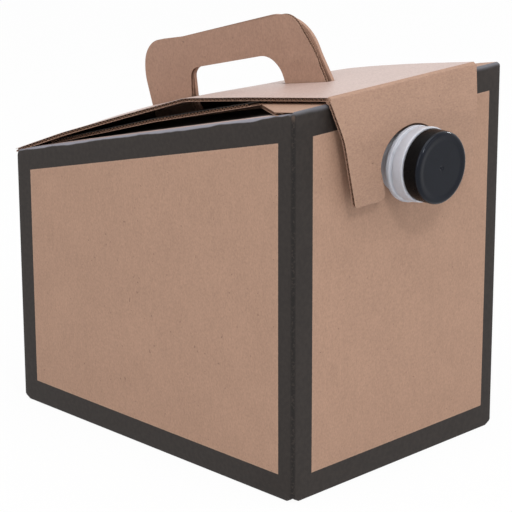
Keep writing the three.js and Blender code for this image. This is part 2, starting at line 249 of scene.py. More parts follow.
def baked(source: Piece) -> bpy.types.Mesh:
    """The object's evaluated mesh, as a plain mesh of its own. The object itself is removed."""
    bpy.context.view_layer.update()
    depsgraph = bpy.context.evaluated_depsgraph_get()
    mesh = bpy.data.meshes.new_from_object(source.evaluated_get(depsgraph))
    old = source.data
    bpy.data.objects.remove(source)
    bpy.data.meshes.remove(old)
    return mesh


def tube(rows: int, count: int) -> Faces:
    """The faces of a closed body of rows of points, with a flat face at each end.

    Args:
        rows: How many rows it has.
        count: How many points a row has, counter-clockwise as seen from the last row.

    Returns:
        The faces.
    """
    starts = range(0, (rows - 1) * count, count)
    faces = [(s + i, s + (i + 1) % count, s + count + (i + 1) % count, s + count + i)
             for s in starts for i in range(count)]
    return [*faces, tuple(reversed(range(count))), tuple(range((rows - 1) * count, rows * count))]


def turned(profile: list[tuple[float, float]], axis_x: float, axis_z: float, steps: int = 160
           ) -> Body:
    """Turns a closed profile about an axis along Y.

    Args:
        profile: Points of radius and place along Y. Seen with the axis up along -Y, they run
            counter-clockwise, and the first and last may lie on the axis.
        axis_x: Where the axis is, across.
        axis_z: How high the axis is.
        steps: How many facets a turn has.

    Returns:
        The vertices and faces of a closed body.
    """
    vertices, rings = [], []
    for radius, y in profile:
        count = 1 if radius < 1e-7 else steps
        rings.append(range(len(vertices), len(vertices) + count))
        for k in range(count):
            angle = 2 * math.pi * k / steps
            vertices.append((axis_x + radius * math.cos(angle), y, axis_z + radius * math.sin(angle)))
    faces = []
    for a, b in zip(rings, [*rings[1:], rings[0]]):
        for k in range(steps):
            ring = (a[k % len(a)], a[(k + 1) % len(a)], b[(k + 1) % len(b)], b[k % len(b)])
            face = tuple(dict.fromkeys(ring))
            if len(face) > 2:
                faces.append(face)
    return np.array(vertices), faces


# Shader trees

class Grain(Enum):
    """The way a board's flutes run, as the stretch of a pattern across, along and up the carton."""

    ACROSS = (0.3, 1.0, 1.0)
    UPRIGHT = (1.0, 1.0, 0.3)


class Signal:
    """A value in a node tree, which takes part in sums as a number does."""

    def __init__(self, sheet: "NodeSheet", socket: Socket) -> None:
        """Wraps a socket of a sheet."""
        self.sheet, self.socket = sheet, socket

    def __add__(self, other: "Source") -> "Signal":
        """The sum."""
        return self.sheet.math("ADD", self, other)

    def __sub__(self, other: "Source") -> "Signal":
        """The difference."""
        return self.sheet.math("SUBTRACT", self, other)

    def __rsub__(self, other: float) -> "Signal":
        """What is left of a number."""
        return self.sheet.math("SUBTRACT", other, self)

    def __mul__(self, other: "Source") -> "Signal":
        """The product."""
        return self.sheet.math("MULTIPLY", self, other)

    def __truediv__(self, other: "Source") -> "Signal":
        """The quotient."""
        return self.sheet.math("DIVIDE", self, other)

    def __abs__(self) -> "Signal":
        """The value without its sign."""
        return self.sheet.math("ABSOLUTE", self)

    __radd__, __rmul__ = __add__, __mul__


Source = Signal | Socket | float | tuple


class NodeSheet:
    """A node tree that is filled node by node."""

    def __init__(self, tree: Tree) -> None:
        """Starts on a tree, which it empties."""
        self.tree = tree
        tree.nodes.clear()

    def feed(self, node: Node, inputs: dict[str | int, Source]) -> None:
        """Links or sets some of a node's inputs."""
        for name, value in inputs.items():
            value = value.socket if isinstance(value, Signal) else value
            if isinstance(value, Socket):
                self.tree.links.new(value, node.inputs[name])
            else:
                node.inputs[name].default_value = value

    def add(self, kind: str, inputs: dict[str | int, Source] | None = None, **settings: object) -> Node:
        """Adds a node.

        Args:
            kind: The node's type.
            inputs: What its input sockets take, by name or place.
            **settings: Its properties.

        Returns:
            The node.
        """
        node = self.tree.nodes.new(kind)
        for name, value in settings.items():
            setattr(node, name, value)
        self.feed(node, inputs or {})
        return node

    def signals(self, node: Node) -> dict[str, Signal]:
        """A node's outputs by name."""
        return {socket.name: Signal(self, socket) for socket in node.outputs}

    def value(self, kind: str, inputs: dict[str | int, Source], output: str | int = 0, **settings: object
              ) -> Signal:
        """Adds a node and gives one of its outputs."""
        return Signal(self, self.add(kind, inputs, **settings).outputs[output])

    def math(self, operation: str, a: Source, b: Source = 0.0) -> Signal:
        """One operation on two numbers."""
        return self.value("ShaderNodeMath", {0: a, 1: b}, operation=operation)

    def least(self, *values: Source) -> Signal:
        """The smallest of some values."""
        return reduce(lambda a, b: self.math("MINIMUM", a, b), values)

    def most(self, *values: Source) -> Signal:
        """The largest of some values."""
        return reduce(lambda a, b: self.math("MAXIMUM", a, b), values)

    def stretched(self, vector: Source, scale: tuple[float, float, float]) -> Signal:
        """A vector multiplied part by part."""
        return self.value("ShaderNodeVectorMath", {0: vector, 1: scale}, operation="MULTIPLY")

    def noise(self, vector: Source, scale: Source, detail: float = 2.0) -> Signal:
        """Smooth noise of about 0 to 1."""
        return self.value("ShaderNodeTexNoise", {"Vector": vector, "Scale": scale, "Detail": detail})

    def ramp(self, value: Source, low: Source, high: Source, to_low: float = 0.0, to_high: float = 1.0
             ) -> Signal:
        """A smooth rise from one value to another between two limits."""
        inputs = {"Value": value, "From Min": low, "From Max": high, "To Min": to_low, "To Max": to_high}
        return self.value("ShaderNodeMapRange", inputs, interpolation_type="SMOOTHSTEP")

    def mix(self, share: Source, a: Source, b: Source) -> Signal:
        """Mixes two colours."""
        return self.value("ShaderNodeMix", {0: share, 6: a, 7: b}, 2, data_type="RGBA")

    def relief(self, surface: Node, height: Source, strength: float, distance: float) -> None:
        """Gives a surface a bump."""
        bump = self.value("ShaderNodeBump", {"Height": height, "Strength": strength, "Distance": distance})
        self.feed(surface, {"Normal": bump})

    def use(self, group: Tree, inputs: dict[str | int, Source]) -> dict[str, Signal]:
        """Places a shared group, and gives its outputs by name."""
        node = self.add("ShaderNodeGroup", node_tree=group)
        self.feed(node, inputs)
        return self.signals(node)


def shared_group(name: str, inputs: dict[str, float | None], outputs: list[str],
                 fill: Callable[[NodeSheet, dict[str, Signal]], dict[str, Signal]]) -> Tree:
    """Builds a shader node group.

    Args:
        name: The group's name.
        inputs: Each input's default, or None for a vector.
        outputs: The names of its value outputs.
        fill: Fills the group and says what feeds each output.

    Returns:
        The group.
    """
    group = bpy.data.node_groups.new(name, "ShaderNodeTree")
    for label, default in inputs.items():
        kind = "NodeSocketVector" if default is None else "NodeSocketFloat"
        socket = group.interface.new_socket(label, in_out="INPUT", socket_type=kind)
        if default is not None:
            socket.default_value = default
    for label in outputs:
        group.interface.new_socket(label, in_out="OUTPUT", socket_type="NodeSocketFloat")
    sheet = NodeSheet(group)
    made = fill(sheet, sheet.signals(sheet.add("NodeGroupInput")))
    sheet.add("NodeGroupOutput", made)
    return group


@cache
def paper_group() -> Tree:
    """Paper: its cloudy tone, its short fibres and its few dark specks."""
    def fill(sheet: NodeSheet, given: dict[str, Signal]) -> dict[str, Signal]:
        position, along = given["Position"], given["Along flutes"]
        clouds, blotches = sheet.noise(position, 45.0, 3.0), sheet.noise(position, 800.0, 3.0)
        fibres, streaks = sheet.noise(along, 1900.0, 3.0), sheet.noise(along, 330.0, 1.0)
        return {"Tone": clouds * 0.12 + blotches * 0.38 + fibres * 0.4 + streaks * 0.1,
                "Specks": sheet.ramp(sheet.noise(position, 520.0, 0.0), 0.82, 0.85),
                "Height": fibres * 0.55 + blotches * 0.45}

    return shared_group("paper", {"Position": None, "Along flutes": None}, ["Tone", "Specks", "Height"], fill)


@cache
def printed_edge_group() -> Tree:
    """The edge of a field of ink, which wanders a little and soaks into the fibres."""
    def fill(sheet: NodeSheet, given: dict[str, Signal]) -> dict[str, Signal]:
        wander = sheet.noise(given["Position"], given["Detail"]) - 0.5
        distance = given["Distance"] + wander * given["Wander"]
        return {"Beyond": sheet.ramp(distance, given["Softness"] * -1.0, given["Softness"])}

    return shared_group("printed_edge", {"Position": None, "Distance": 0.0, "Softness": 0.2 * MM,
                                         "Wander": 0.4 * MM, "Detail": 900.0}, ["Beyond"], fill)


@cache
def crease_wear_group() -> Tree:
    """Rubbed specks along a crease, from the distance to it."""
    def fill(sheet: NodeSheet, given: dict[str, Signal]) -> dict[str, Signal]:
        near = sheet.ramp(given["Distance"], 0.0, given["Width"], 1.0, 0.0)
        return {"Wear": near * sheet.ramp(sheet.noise(given["Position"], given["Grain"]), 0.5, 0.66)}

    return shared_group("crease_wear", {"Position": None, "Distance": 1.0, "Width": 2 * MM, "Grain": 700.0},
                        ["Wear"], fill)


def started(name: str) -> tuple[Material, NodeSheet, Node, Signal]:
    """A new material with its sheet, its Principled BSDF and the Object coordinates."""
    material = bpy.data.materials.new(name)
    material.use_nodes = True
    sheet = NodeSheet(material.node_tree)
    surface = sheet.add("ShaderNodeBsdfPrincipled")
    sheet.add("ShaderNodeOutputMaterial", {"Surface": surface.outputs["BSDF"]})
    return material, sheet, surface, sheet.value("ShaderNodeTexCoord", {}, "Object")


def toned(colour: Colour, contrast: float) -> list[tuple[float, ...]]:
    """A darker and a lighter form of a colour, as colour sockets take them."""
    return [opaque(tuple(min(1.0, c * share) for c in colour)) for share in (1 - contrast, 1 + contrast)]


@dataclass(frozen=True)
class KraftFinish:
    """Unbleached board paper."""

    name: str
    colour: Colour
    grain: Grain = Grain.ACROSS
    contrast: float = 0.16
    roughness: float = 0.68
    gloss_change: float = 0.06
    bump: float = 0.16
    bump_depth: float = 0.12 * MM
    speck_tone: float = 0.45
    speck_strength: float = 0.6

    def paper(self, sheet: NodeSheet, position: Source) -> tuple[Signal, Signal]:
        """The paper's colour and its relief."""
        along = sheet.stretched(position, self.grain.value)
        paper = sheet.use(paper_group(), {"Position": position, "Along flutes": along})
        colour = sheet.mix(sheet.ramp(paper["Tone"], 0.3, 0.7), *toned(self.colour, self.contrast))
        speck = opaque(tuple(c * self.speck_tone for c in self.colour))
        return sheet.mix(paper["Specks"] * self.speck_strength, colour, speck), paper["Height"]

    @cache
    def material(self) -> Material:
        """The finish as a material, made once."""
        material, sheet, surface, position = started(self.name)
        colour, height = self.paper(sheet, position)
        rough = sheet.ramp(height, 0.2, 0.8, self.roughness + self.gloss_change,
                           self.roughness - self.gloss_change)
        sheet.feed(surface, {"Base Color": colour, "Roughness": rough})
        sheet.relief(surface, height, self.bump, self.bump_depth)
        return material


@dataclass(frozen=True)
class InkFinish:
    """The dark print of the carton's borders, thin enough for the fibres to show."""

    name: str = "printed_ink"
    colour: Colour = linear(43, 37, 34)
    contrast: float = 0.16
    roughness: float = 0.56
    specular: float = 0.25

    def ink(self, sheet: NodeSheet, position: Source) -> Signal:
        """The ink's colour."""
        tone = sheet.ramp(sheet.noise(position, 420.0, 3.0), 0.3, 0.7)
        return sheet.mix(tone, *toned(self.colour, self.contrast))

    # As a material it covers the right flap's upper face, where its dark stands partly for the shade under
    # the lid.
    @cache
    def material(self) -> Material:
        """The finish as a material, made once."""
        material, sheet, surface, position = started(self.name)
        sheet.feed(surface, {"Base Color": self.ink(sheet, position), "Roughness": self.roughness,
                             "Specular IOR Level": self.specular})
        sheet.relief(surface, sheet.noise(position, 900.0), 0.2, 0.1 * MM)
        return material


WALL_KRAFT = KraftFinish("kraft_wall", linear(167, 134, 114), Grain.UPRIGHT)
# The lid's kraft is painted lighter and pinker than the walls' kraft: painted glare on the lid's upper face.
LID_KRAFT_PAINTED_GLARE = KraftFinish("kraft_lid", linear(183, 160, 152), roughness=0.42, bump=0.08)
TONGUE_KRAFT = KraftFinish("kraft_tongue", linear(159, 126, 106))
PLY_KRAFT = KraftFinish("kraft_handle", linear(160, 126, 107), Grain.UPRIGHT)
FLUTE_KRAFT = KraftFinish("kraft_flutes", linear(122, 92, 74), contrast=0.3, roughness=0.9)
# The core is dark brown: painted shade inside the hollow flutes between the liners.
FLUTE_SHADE_CORE = KraftFinish("kraft_core", linear(48, 34, 26), contrast=0.3, roughness=0.95)
INK = InkFinish()


# The carton


@dataclass(frozen=True)
class Carton:
    """The carton's driving sizes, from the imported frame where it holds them."""

    half_width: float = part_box("carton_body")[1].x
    half_length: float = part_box("carton_body")[1].y
    back_height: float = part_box("lid")[0].z - 0.3 * MM
    side_back_height: float = 151.2 * MM
    front_height: float = 211.5 * MM
    board: float = 2 * MM
    liner: float = 0.25 * MM
    flute_pitch: float = 2.7 * MM
    flute_depth: float = 2.2 * MM
    flute_paper: float = 0.22 * MM

    def side_top(self, y: Points | float) -> Points | float:
        """The height of a side panel's slanted top edge."""
        slope = (self.front_height - self.side_back_height) / (2 * self.half_length)
        return self.side_back_height + slope * (self.half_length - y)


CARTON = Carton()


@cache
def flute_tree() -> Tree:
    """The Geometry Nodes tree that lays the wavy middle paper along cut edges.

    The edges carry two attributes: inward, the way into the board, and across, the way through it.

    Returns:
        The tree, with the wave's sizes as named inputs.
    """
    tree = bpy.data.node_groups.new("corrugated_flutes", "GeometryNodeTree")
    sizes = {"Pitch": CARTON.flute_pitch, "Height": CARTON.board - 2 * CARTON.liner,
             "Depth": CARTON.flute_depth, "Paper": CARTON.flute_paper}
    kinds = {"Geometry": "Geometry", **dict.fromkeys(sizes, "Float"), "Direction": "Vector",
             "Material": "Material"}
    for label, kind in kinds.items():
        socket = tree.interface.new_socket(label, in_out="INPUT", socket_type="NodeSocket" + kind)
        if label in sizes:
            socket.default_value = sizes[label]
    tree.interface.new_socket("Geometry", in_out="OUTPUT", socket_type="NodeSocketGeometry")
    sheet = NodeSheet(tree)
    given = sheet.signals(sheet.add("NodeGroupInput"))

    def made(kind: str, inputs: dict[str | int, Source], **settings: object) -> Signal:
        """The first output of a new geometry node."""
        return sheet.value("GeometryNode" + kind, inputs, **settings)

    chords = 8.0
    curve = made("MeshToCurve", {"Mesh": given["Geometry"]})
    fine = made("ResampleCurve", {"Curve": curve, "Length": given["Pitch"] / chords}, mode="LENGTH")
    inward = made("InputNamedAttribute", {"Name": "inward"}, data_type="FLOAT_VECTOR")
    across = made("InputNamedAttribute", {"Name": "across"}, data_type="FLOAT_VECTOR")
    run = sheet.value("ShaderNodeVectorMath", {0: made("InputPosition", {}), 1: given["Direction"]}, "Value",
                      operation="DOT_PRODUCT")
    wave = sheet.math("SINE", run / given["Pitch"] * (2 * math.pi))
    swing = (given["Height"] - given["Paper"]) * 0.5
    offset = sheet.value("ShaderNodeVectorMath", {0: across, "Scale": wave * swing}, operation="SCALE")
    waved = made("SetPosition", {"Geometry": fine, "Offset": offset})
    edges = made("CurveToMesh", {"Curve": waved})
    ribbon = made("ExtrudeMesh", {"Mesh": edges, "Offset": inward, "Offset Scale": given["Depth"]},
                  mode="EDGES")
    thick = made("ExtrudeMesh", {"Mesh": ribbon, "Offset Scale": given["Paper"], "Individual": False},
                 mode="FACES")
    both = sheet.add("GeometryNodeJoinGeometry")
    for part in (thick, made("FlipFaces", {"Mesh": ribbon})):
        sheet.feed(both, {0: part})
    closed = made("MergeByDistance", {"Geometry": both.outputs[0], "Distance": 1e-6})
    real = made("RealizeInstances", {"Geometry": closed})
    sheet.add("NodeGroupOutput", {"Geometry": made("SetMaterial", {"Geometry": real,
                                                                   "Material": given["Material"]})})
    return tree


@dataclass
class BoardPiece:
    """A piece cut from corrugated board: two liners, and the flutes between them open at its cut edges."""

    name: str
    loops: list[Points]
    place: Callable[[Points], Points]
    upper: Material
    lower: Material
    flutes_along: tuple[float, float, float]
    spacing: float = 4 * MM
    pressed_shut: bool = False
    extra: list[tuple[Points, Faces, int]] = field(default_factory=list)

    def normals(self, flat: Points) -> Points:
        """The way out of the upper face at points of the flat outline."""
        step = 0.05 * MM
        du = self.place(flat + [step, 0]) - self.place(flat - [step, 0])
        dv = self.place(flat + [0, step]) - self.place(flat - [0, step])
        out = np.cross(du, dv)
        return out / np.linalg.norm(out, axis=1, keepdims=True)

    def layer(self, loops: list[Points], top: float, bottom: float) -> Body:
        """A closed layer between two depths below the upper face."""
        flat, triangles = triangulated(loops, self.spacing)
        surface, out = self.place(flat), self.normals(flat)
        count = len(flat)
        vertices = np.concatenate([surface - out * top, surface - out * bottom])
        faces: Faces = list(triangles)
        faces += [(c + count, b + count, a + count) for a, b, c in triangles]
        sides = {(a, b) for t in triangles for a, b in zip(t, t[1:] + t[:1])}
        faces += [(a + count, b + count, b, a) for a, b in sides if (b, a) not in sides]
        return vertices, faces

    def flutes(self) -> bpy.types.Mesh:
        """The wavy paper along every cut edge, from Geometry Nodes."""
        middle = CARTON.board / 2
        vertices, edges, inward, across = [], [], [], []
        for loop in self.loops:
            first = len(vertices)
            surface, out = self.place(loop), self.normals(loop)
            inner = inset(loop, CARTON.flute_depth)
            way = self.place(inner) - surface
            way /= np.linalg.norm(way, axis=1, keepdims=True)
            vertices.extend(surface - out * middle + way * CARTON.liner / 2)
            edges.extend((first + i, first + (i + 1) % len(loop)) for i in range(len(loop)))
            inward.extend(way)
            across.extend(out)
        mesh = bpy.data.meshes.new(self.name + "_edges")
        mesh.from_pydata([tuple(v) for v in vertices], edges, [])
        for label, values in (("inward", inward), ("across", across)):
            attribute = mesh.attributes.new(label, "FLOAT_VECTOR", "POINT")
            attribute.data.foreach_set("vector", np.array(values, np.float32).ravel())
        carrier = linked(mesh.name, mesh)
        modifier = carrier.modifiers.new("flutes", "NODES")
        modifier.node_group = flute_tree()
        sockets = {s.name: s.identifier for s in flute_tree().interface.items_tree if s.in_out == "INPUT"}
        modifier[sockets["Direction"]] = self.flutes_along
        modifier[sockets["Material"]] = FLUTE_KRAFT.material()
        return baked(carrier)

    def build(self) -> Piece:
        """Makes the piece, with the upper liner, lower liner, core and flutes in one mesh; the core's dark
        colour is painted shade inside the flutes.
        """
        stock = MeshStock()
        board, liner = CARTON.board, CARTON.liner
        if self.pressed_shut:
            stock.add(*self.layer(self.loops, 0, board), 0)
            return stock.made(self.name, [self.upper])
        core_loops = [inset(loop, CARTON.flute_depth) for loop in self.loops]
        stock.add(*self.layer(self.loops, 0, liner), 0)
        stock.add(*self.layer(self.loops, board - liner, board), 1)
        # The core layer is painted shade: a dark fill for the hollows of the flutes.
        stock.add(*self.layer(core_loops, liner, board - liner), 2)
        flutes = self.flutes()
        stock.add_mesh(flutes, 3)
        bpy.data.meshes.remove(flutes)
        for vertices, faces, slot in self.extra:
            stock.add(vertices, faces, slot)
        return stock.made(self.name, [self.upper, self.lower, FLUTE_SHADE_CORE.material(), FLUTE_KRAFT.material()])


def put_on(piece: Piece, body: str, slot: str, *nodes: str) -> Piece:
    """Lets a piece ride on a body and stand for CAD nodes, and reports it."""
    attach(piece, body)
    if nodes:
        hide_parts(*nodes)
    log.info("%s rides on %s, %d faces", piece.name, body, len(piece.data.polygons))
    return piece


@dataclass
class CartonWalls:
    """The four walls and the bottom, with rounded creases and folds."""

    corner_radius: float = 2.2 * MM
    top_radius: float = 2 * MM
    base_radius: float = 1 * MM
    bulge: float = 0.7 * MM
    corner_notch: float = 2.7 * MM
    notch_reach: float = 5 * MM
    wall_rows: int = 36
    edge_steps: int = 6
    corner_blend: float = 0.8
    wall_step: float = 4 * MM
    hole_radius: float = 20.8 * MM
    spout_height: float = 172.8 * MM
    print_left: float = 14.1 * MM
    print_right: float = 9.9 * MM
    print_base: float = 13.7 * MM
    print_top: float = 14.4 * MM
    side_print_back: float = 12.6 * MM
    side_print_front: float = 10.8 * MM
    side_print_top_back: float = 141.5 * MM
    side_print_top_front: float = 194.1 * MM
    rim_band: float = 1.1 * MM

    def perimeter(self) -> tuple[Points, Points, Points]:
        """The plan outline, its outward directions and how far each point is along its panel.

        Returns:
            The points, the directions and a share that is 0 at a crease and 1 at a panel's middle.
        """
        w, l, r = CARTON.half_width, CARTON.half_length, self.corner_radius
        points, out, share = [], [], []
        corners = [(w, -l, -90), (w, l, 0), (-w, l, 90), (-w, -l, 180)]
        for i, (x, y, start) in enumerate(corners):
            centre = np.array([x - math.copysign(r, x), y - math.copysign(r, y)])
            for k in range(9):
                angle = math.radians(start + 90 * k / 8)
                out.append(np.array([math.cos(angle), math.sin(angle)]))
                points.append(centre + out[-1] * r)
                share.append(0.0)
            nx, ny, _ = corners[(i + 1) % 4]
            target = np.array([nx - math.copysign(r, nx), ny - math.copysign(r, ny)]) + out[-1] * r
            begin = points[-1]
            count = math.ceil(float(np.linalg.norm(target - begin)) / self.wall_step)
            notch = (self.notch_reach - r) / float(np.linalg.norm(target - begin))
            for along in (notch, *(k / count for k in range(1, count)), 1 - notch):
                points.append(begin + (target - begin) * along)
                out.append(out[-1])
                share.append(math.sin(math.pi * along))
        return np.array(points), np.array(out), np.array(share)

    def shell(self) -> MeshStock:
        """The walls as rows of points up the outside, over the top fold and down the inside."""
        plan, out, share = self.perimeter()
        board, count = CARTON.board, len(plan)
        top = CARTON.side_top(np.clip(plan[:, 1], -CARTON.half_length, CARTON.half_length))
        top = top + (CARTON.back_height - top) * np.clip(out[:, 1] / self.corner_blend, 0, 1)
        corner = np.min([np.linalg.norm(plan - [sx * CARTON.half_width, sy * CARTON.half_length], axis=1)
                         for sx in (-1, 1) for sy in (-1, 1)], axis=0)
        base = self.corner_notch * np.clip(1 - corner / self.notch_reach, 0, 1)
        low, high = base + self.base_radius, top - self.top_radius
        quarter = [math.pi / 2 * k / self.edge_steps for k in range(self.edge_steps + 1)]
        climb = [k / self.wall_rows for k in range(1, self.wall_rows + 1)]
        dents = [self.bulge * math.sin(math.pi * s) * share for s in climb]
        rows = [(self.base_radius * (1 - math.sin(a)), base + self.base_radius * (1 - math.cos(a)))
                for a in quarter]
        rows += [(-dent, low + (high - low) * s) for dent, s in zip(dents[:-1], climb)]
        rows += [(self.top_radius * (1 - math.cos(a)), top - self.top_radius * (1 - math.sin(a)))
                 for a in quarter]
        rows += [(board - dent, top + (board - top) * s) for dent, s in zip(dents, climb)]
        vertices = [np.column_stack([plan - out * np.broadcast_to(inward, count)[:, None], height])
                    for inward, height in rows]
        faces = tube(len(rows), count)
        stock = MeshStock()
        stock.add(np.concatenate(vertices), faces, 0)
        outside = (2 * self.edge_steps + self.wall_rows + 1) * count
        stock.slots = [int(not i < outside) for i in range(len(faces))]
        return stock

    def window(self, sheet: NodeSheet, run: Signal, low: float, high: float, height: Signal, top: Source
               ) -> Signal:
        """How far a point is inside an unprinted window, negative outside it."""
        return sheet.least(run - low, high - run, height - self.print_base, top - height)

    def finish(self) -> Material:
        """Kraft windows in a dark printed border, with worn fold tips and creases, a band along the top folds
        that is partly worn ink and partly painted glare, and a painted shade line down the corner creases.
        """
        material, sheet, surface, position = started("printed_board")
        x, y, z = sheet.signals(sheet.add("ShaderNodeSeparateXYZ", {"Vector": position})).values()
        w, l, skin = CARTON.half_width, CARTON.half_length, 1.2 * MM
        kraft, height = WALL_KRAFT.paper(sheet, position)
        across = abs(x)
        front = self.window(sheet, x, self.print_left - w, w - self.print_right, z,
                            CARTON.front_height - self.print_top)
        back = self.window(sheet, x, self.print_left - w, w - self.print_left, z,
                           CARTON.back_height - self.print_top)
        first, last = self.side_print_front - l, l - self.side_print_back
        slope = (self.side_print_top_back - self.side_print_top_front) / (last - first)
        side = self.window(sheet, y, first, last, z, (y - first) * slope + self.side_print_top_front)
        inside = sheet.most(sheet.least(front, skin - l - y), sheet.least(back, y - (l - skin)),
                            sheet.least(side, across - (w - skin)))
        edge = sheet.use(printed_edge_group(), {"Position": position, "Distance": inside,
                                                "Softness": 0.16 * MM, "Wander": 0.3 * MM})["Beyond"]
        halo = sheet.ramp(inside, 0.2 * MM, 1.0 * MM, 1.0, 0.0) * 0.07
        kraft = sheet.mix(halo, kraft, solid(214, 190, 172))
        drop = z - CARTON.side_top(y) + self.rim_band
        on_side = sheet.ramp(y, 1.5 * MM - l, 5 * MM - l)
        soft = sheet.ramp(on_side, 0.0, 1.0, 1.5 * MM, 0.35 * MM)
        ribbon = sheet.use(printed_edge_group(), {"Position": sheet.stretched(position, (1.0, 1.0, 0.2)),
                                                  "Distance": drop, "Softness": soft, "Wander": 2.6 * MM,
                                                  "Detail": 55.0})["Beyond"]
        # Painted glare over the band at the top folds, paler on the side than on the front; the band also
        # stands for ink worn thin on the fold.
        glare = sheet.mix(on_side, solid(98, 98, 104), solid(132, 130, 138))
        corner = (w - across) + (l - abs(y))
        # Painted shade: a dark line down each vertical corner crease.
        crease_shade_line = sheet.ramp(corner, 1.2 * MM, 2.4 * MM, 0.85, 0.0)
        tip = sheet.ramp(drop, -4 * MM, -1 * MM) * sheet.ramp(corner, 1 * MM, 1.9 * MM, 0.3, 0.0)
        wear = sheet.use(crease_wear_group(), {"Position": position, "Distance": corner, "Width": 2.2 * MM,
                                               "Grain": 900.0})["Wear"]
        colour = INK.ink(sheet, position)
        for share, over in ((ribbon, glare), (crease_shade_line, solid(20, 17, 16)),
                            (tip, solid(150, 124, 108)), (wear * 0.3, solid(128, 112, 102)),
                            (edge, kraft)):
            colour = sheet.mix(share, colour, over)
        rough = sheet.ramp(edge, 0.0, 1.0, INK.roughness, WALL_KRAFT.roughness)
        sheet.feed(surface, {"Base Color": colour, "Roughness": rough, "Specular IOR Level": INK.specular})
        sheet.relief(surface, height, 0.2, WALL_KRAFT.bump_depth)
        return material

    def build(self) -> Piece:
        """Makes the walls with the spout's hole and puts them on the root."""
        materials = [self.finish(), WALL_KRAFT.material()]
        walls = self.shell().made("carton_walls", materials)
        cutter_stock = MeshStock()
        reach = 8 * MM
        front = -CARTON.half_length
        cutter_stock.add(*turned([(0, front - reach), (self.hole_radius, front - reach),
                                  (self.hole_radius, front + reach), (0, front + reach)],
                                 0.0, self.spout_height), 0)
        cutter = cutter_stock.made("spout_hole_cutter", [WALL_KRAFT.material()])
        cut = walls.modifiers.new("spout_hole", "BOOLEAN")
        cut.object = cutter
        cut.operation = "DIFFERENCE"
        cut.solver = "EXACT"
        mesh = baked(walls)
        bpy.data.objects.remove(cutter)
        mesh.name = "carton_walls"
        mesh.set_sharp_from_angle(angle=math.radians(35))
        return put_on(linked("carton_walls", mesh), "root", "kraft_board", "carton_body")


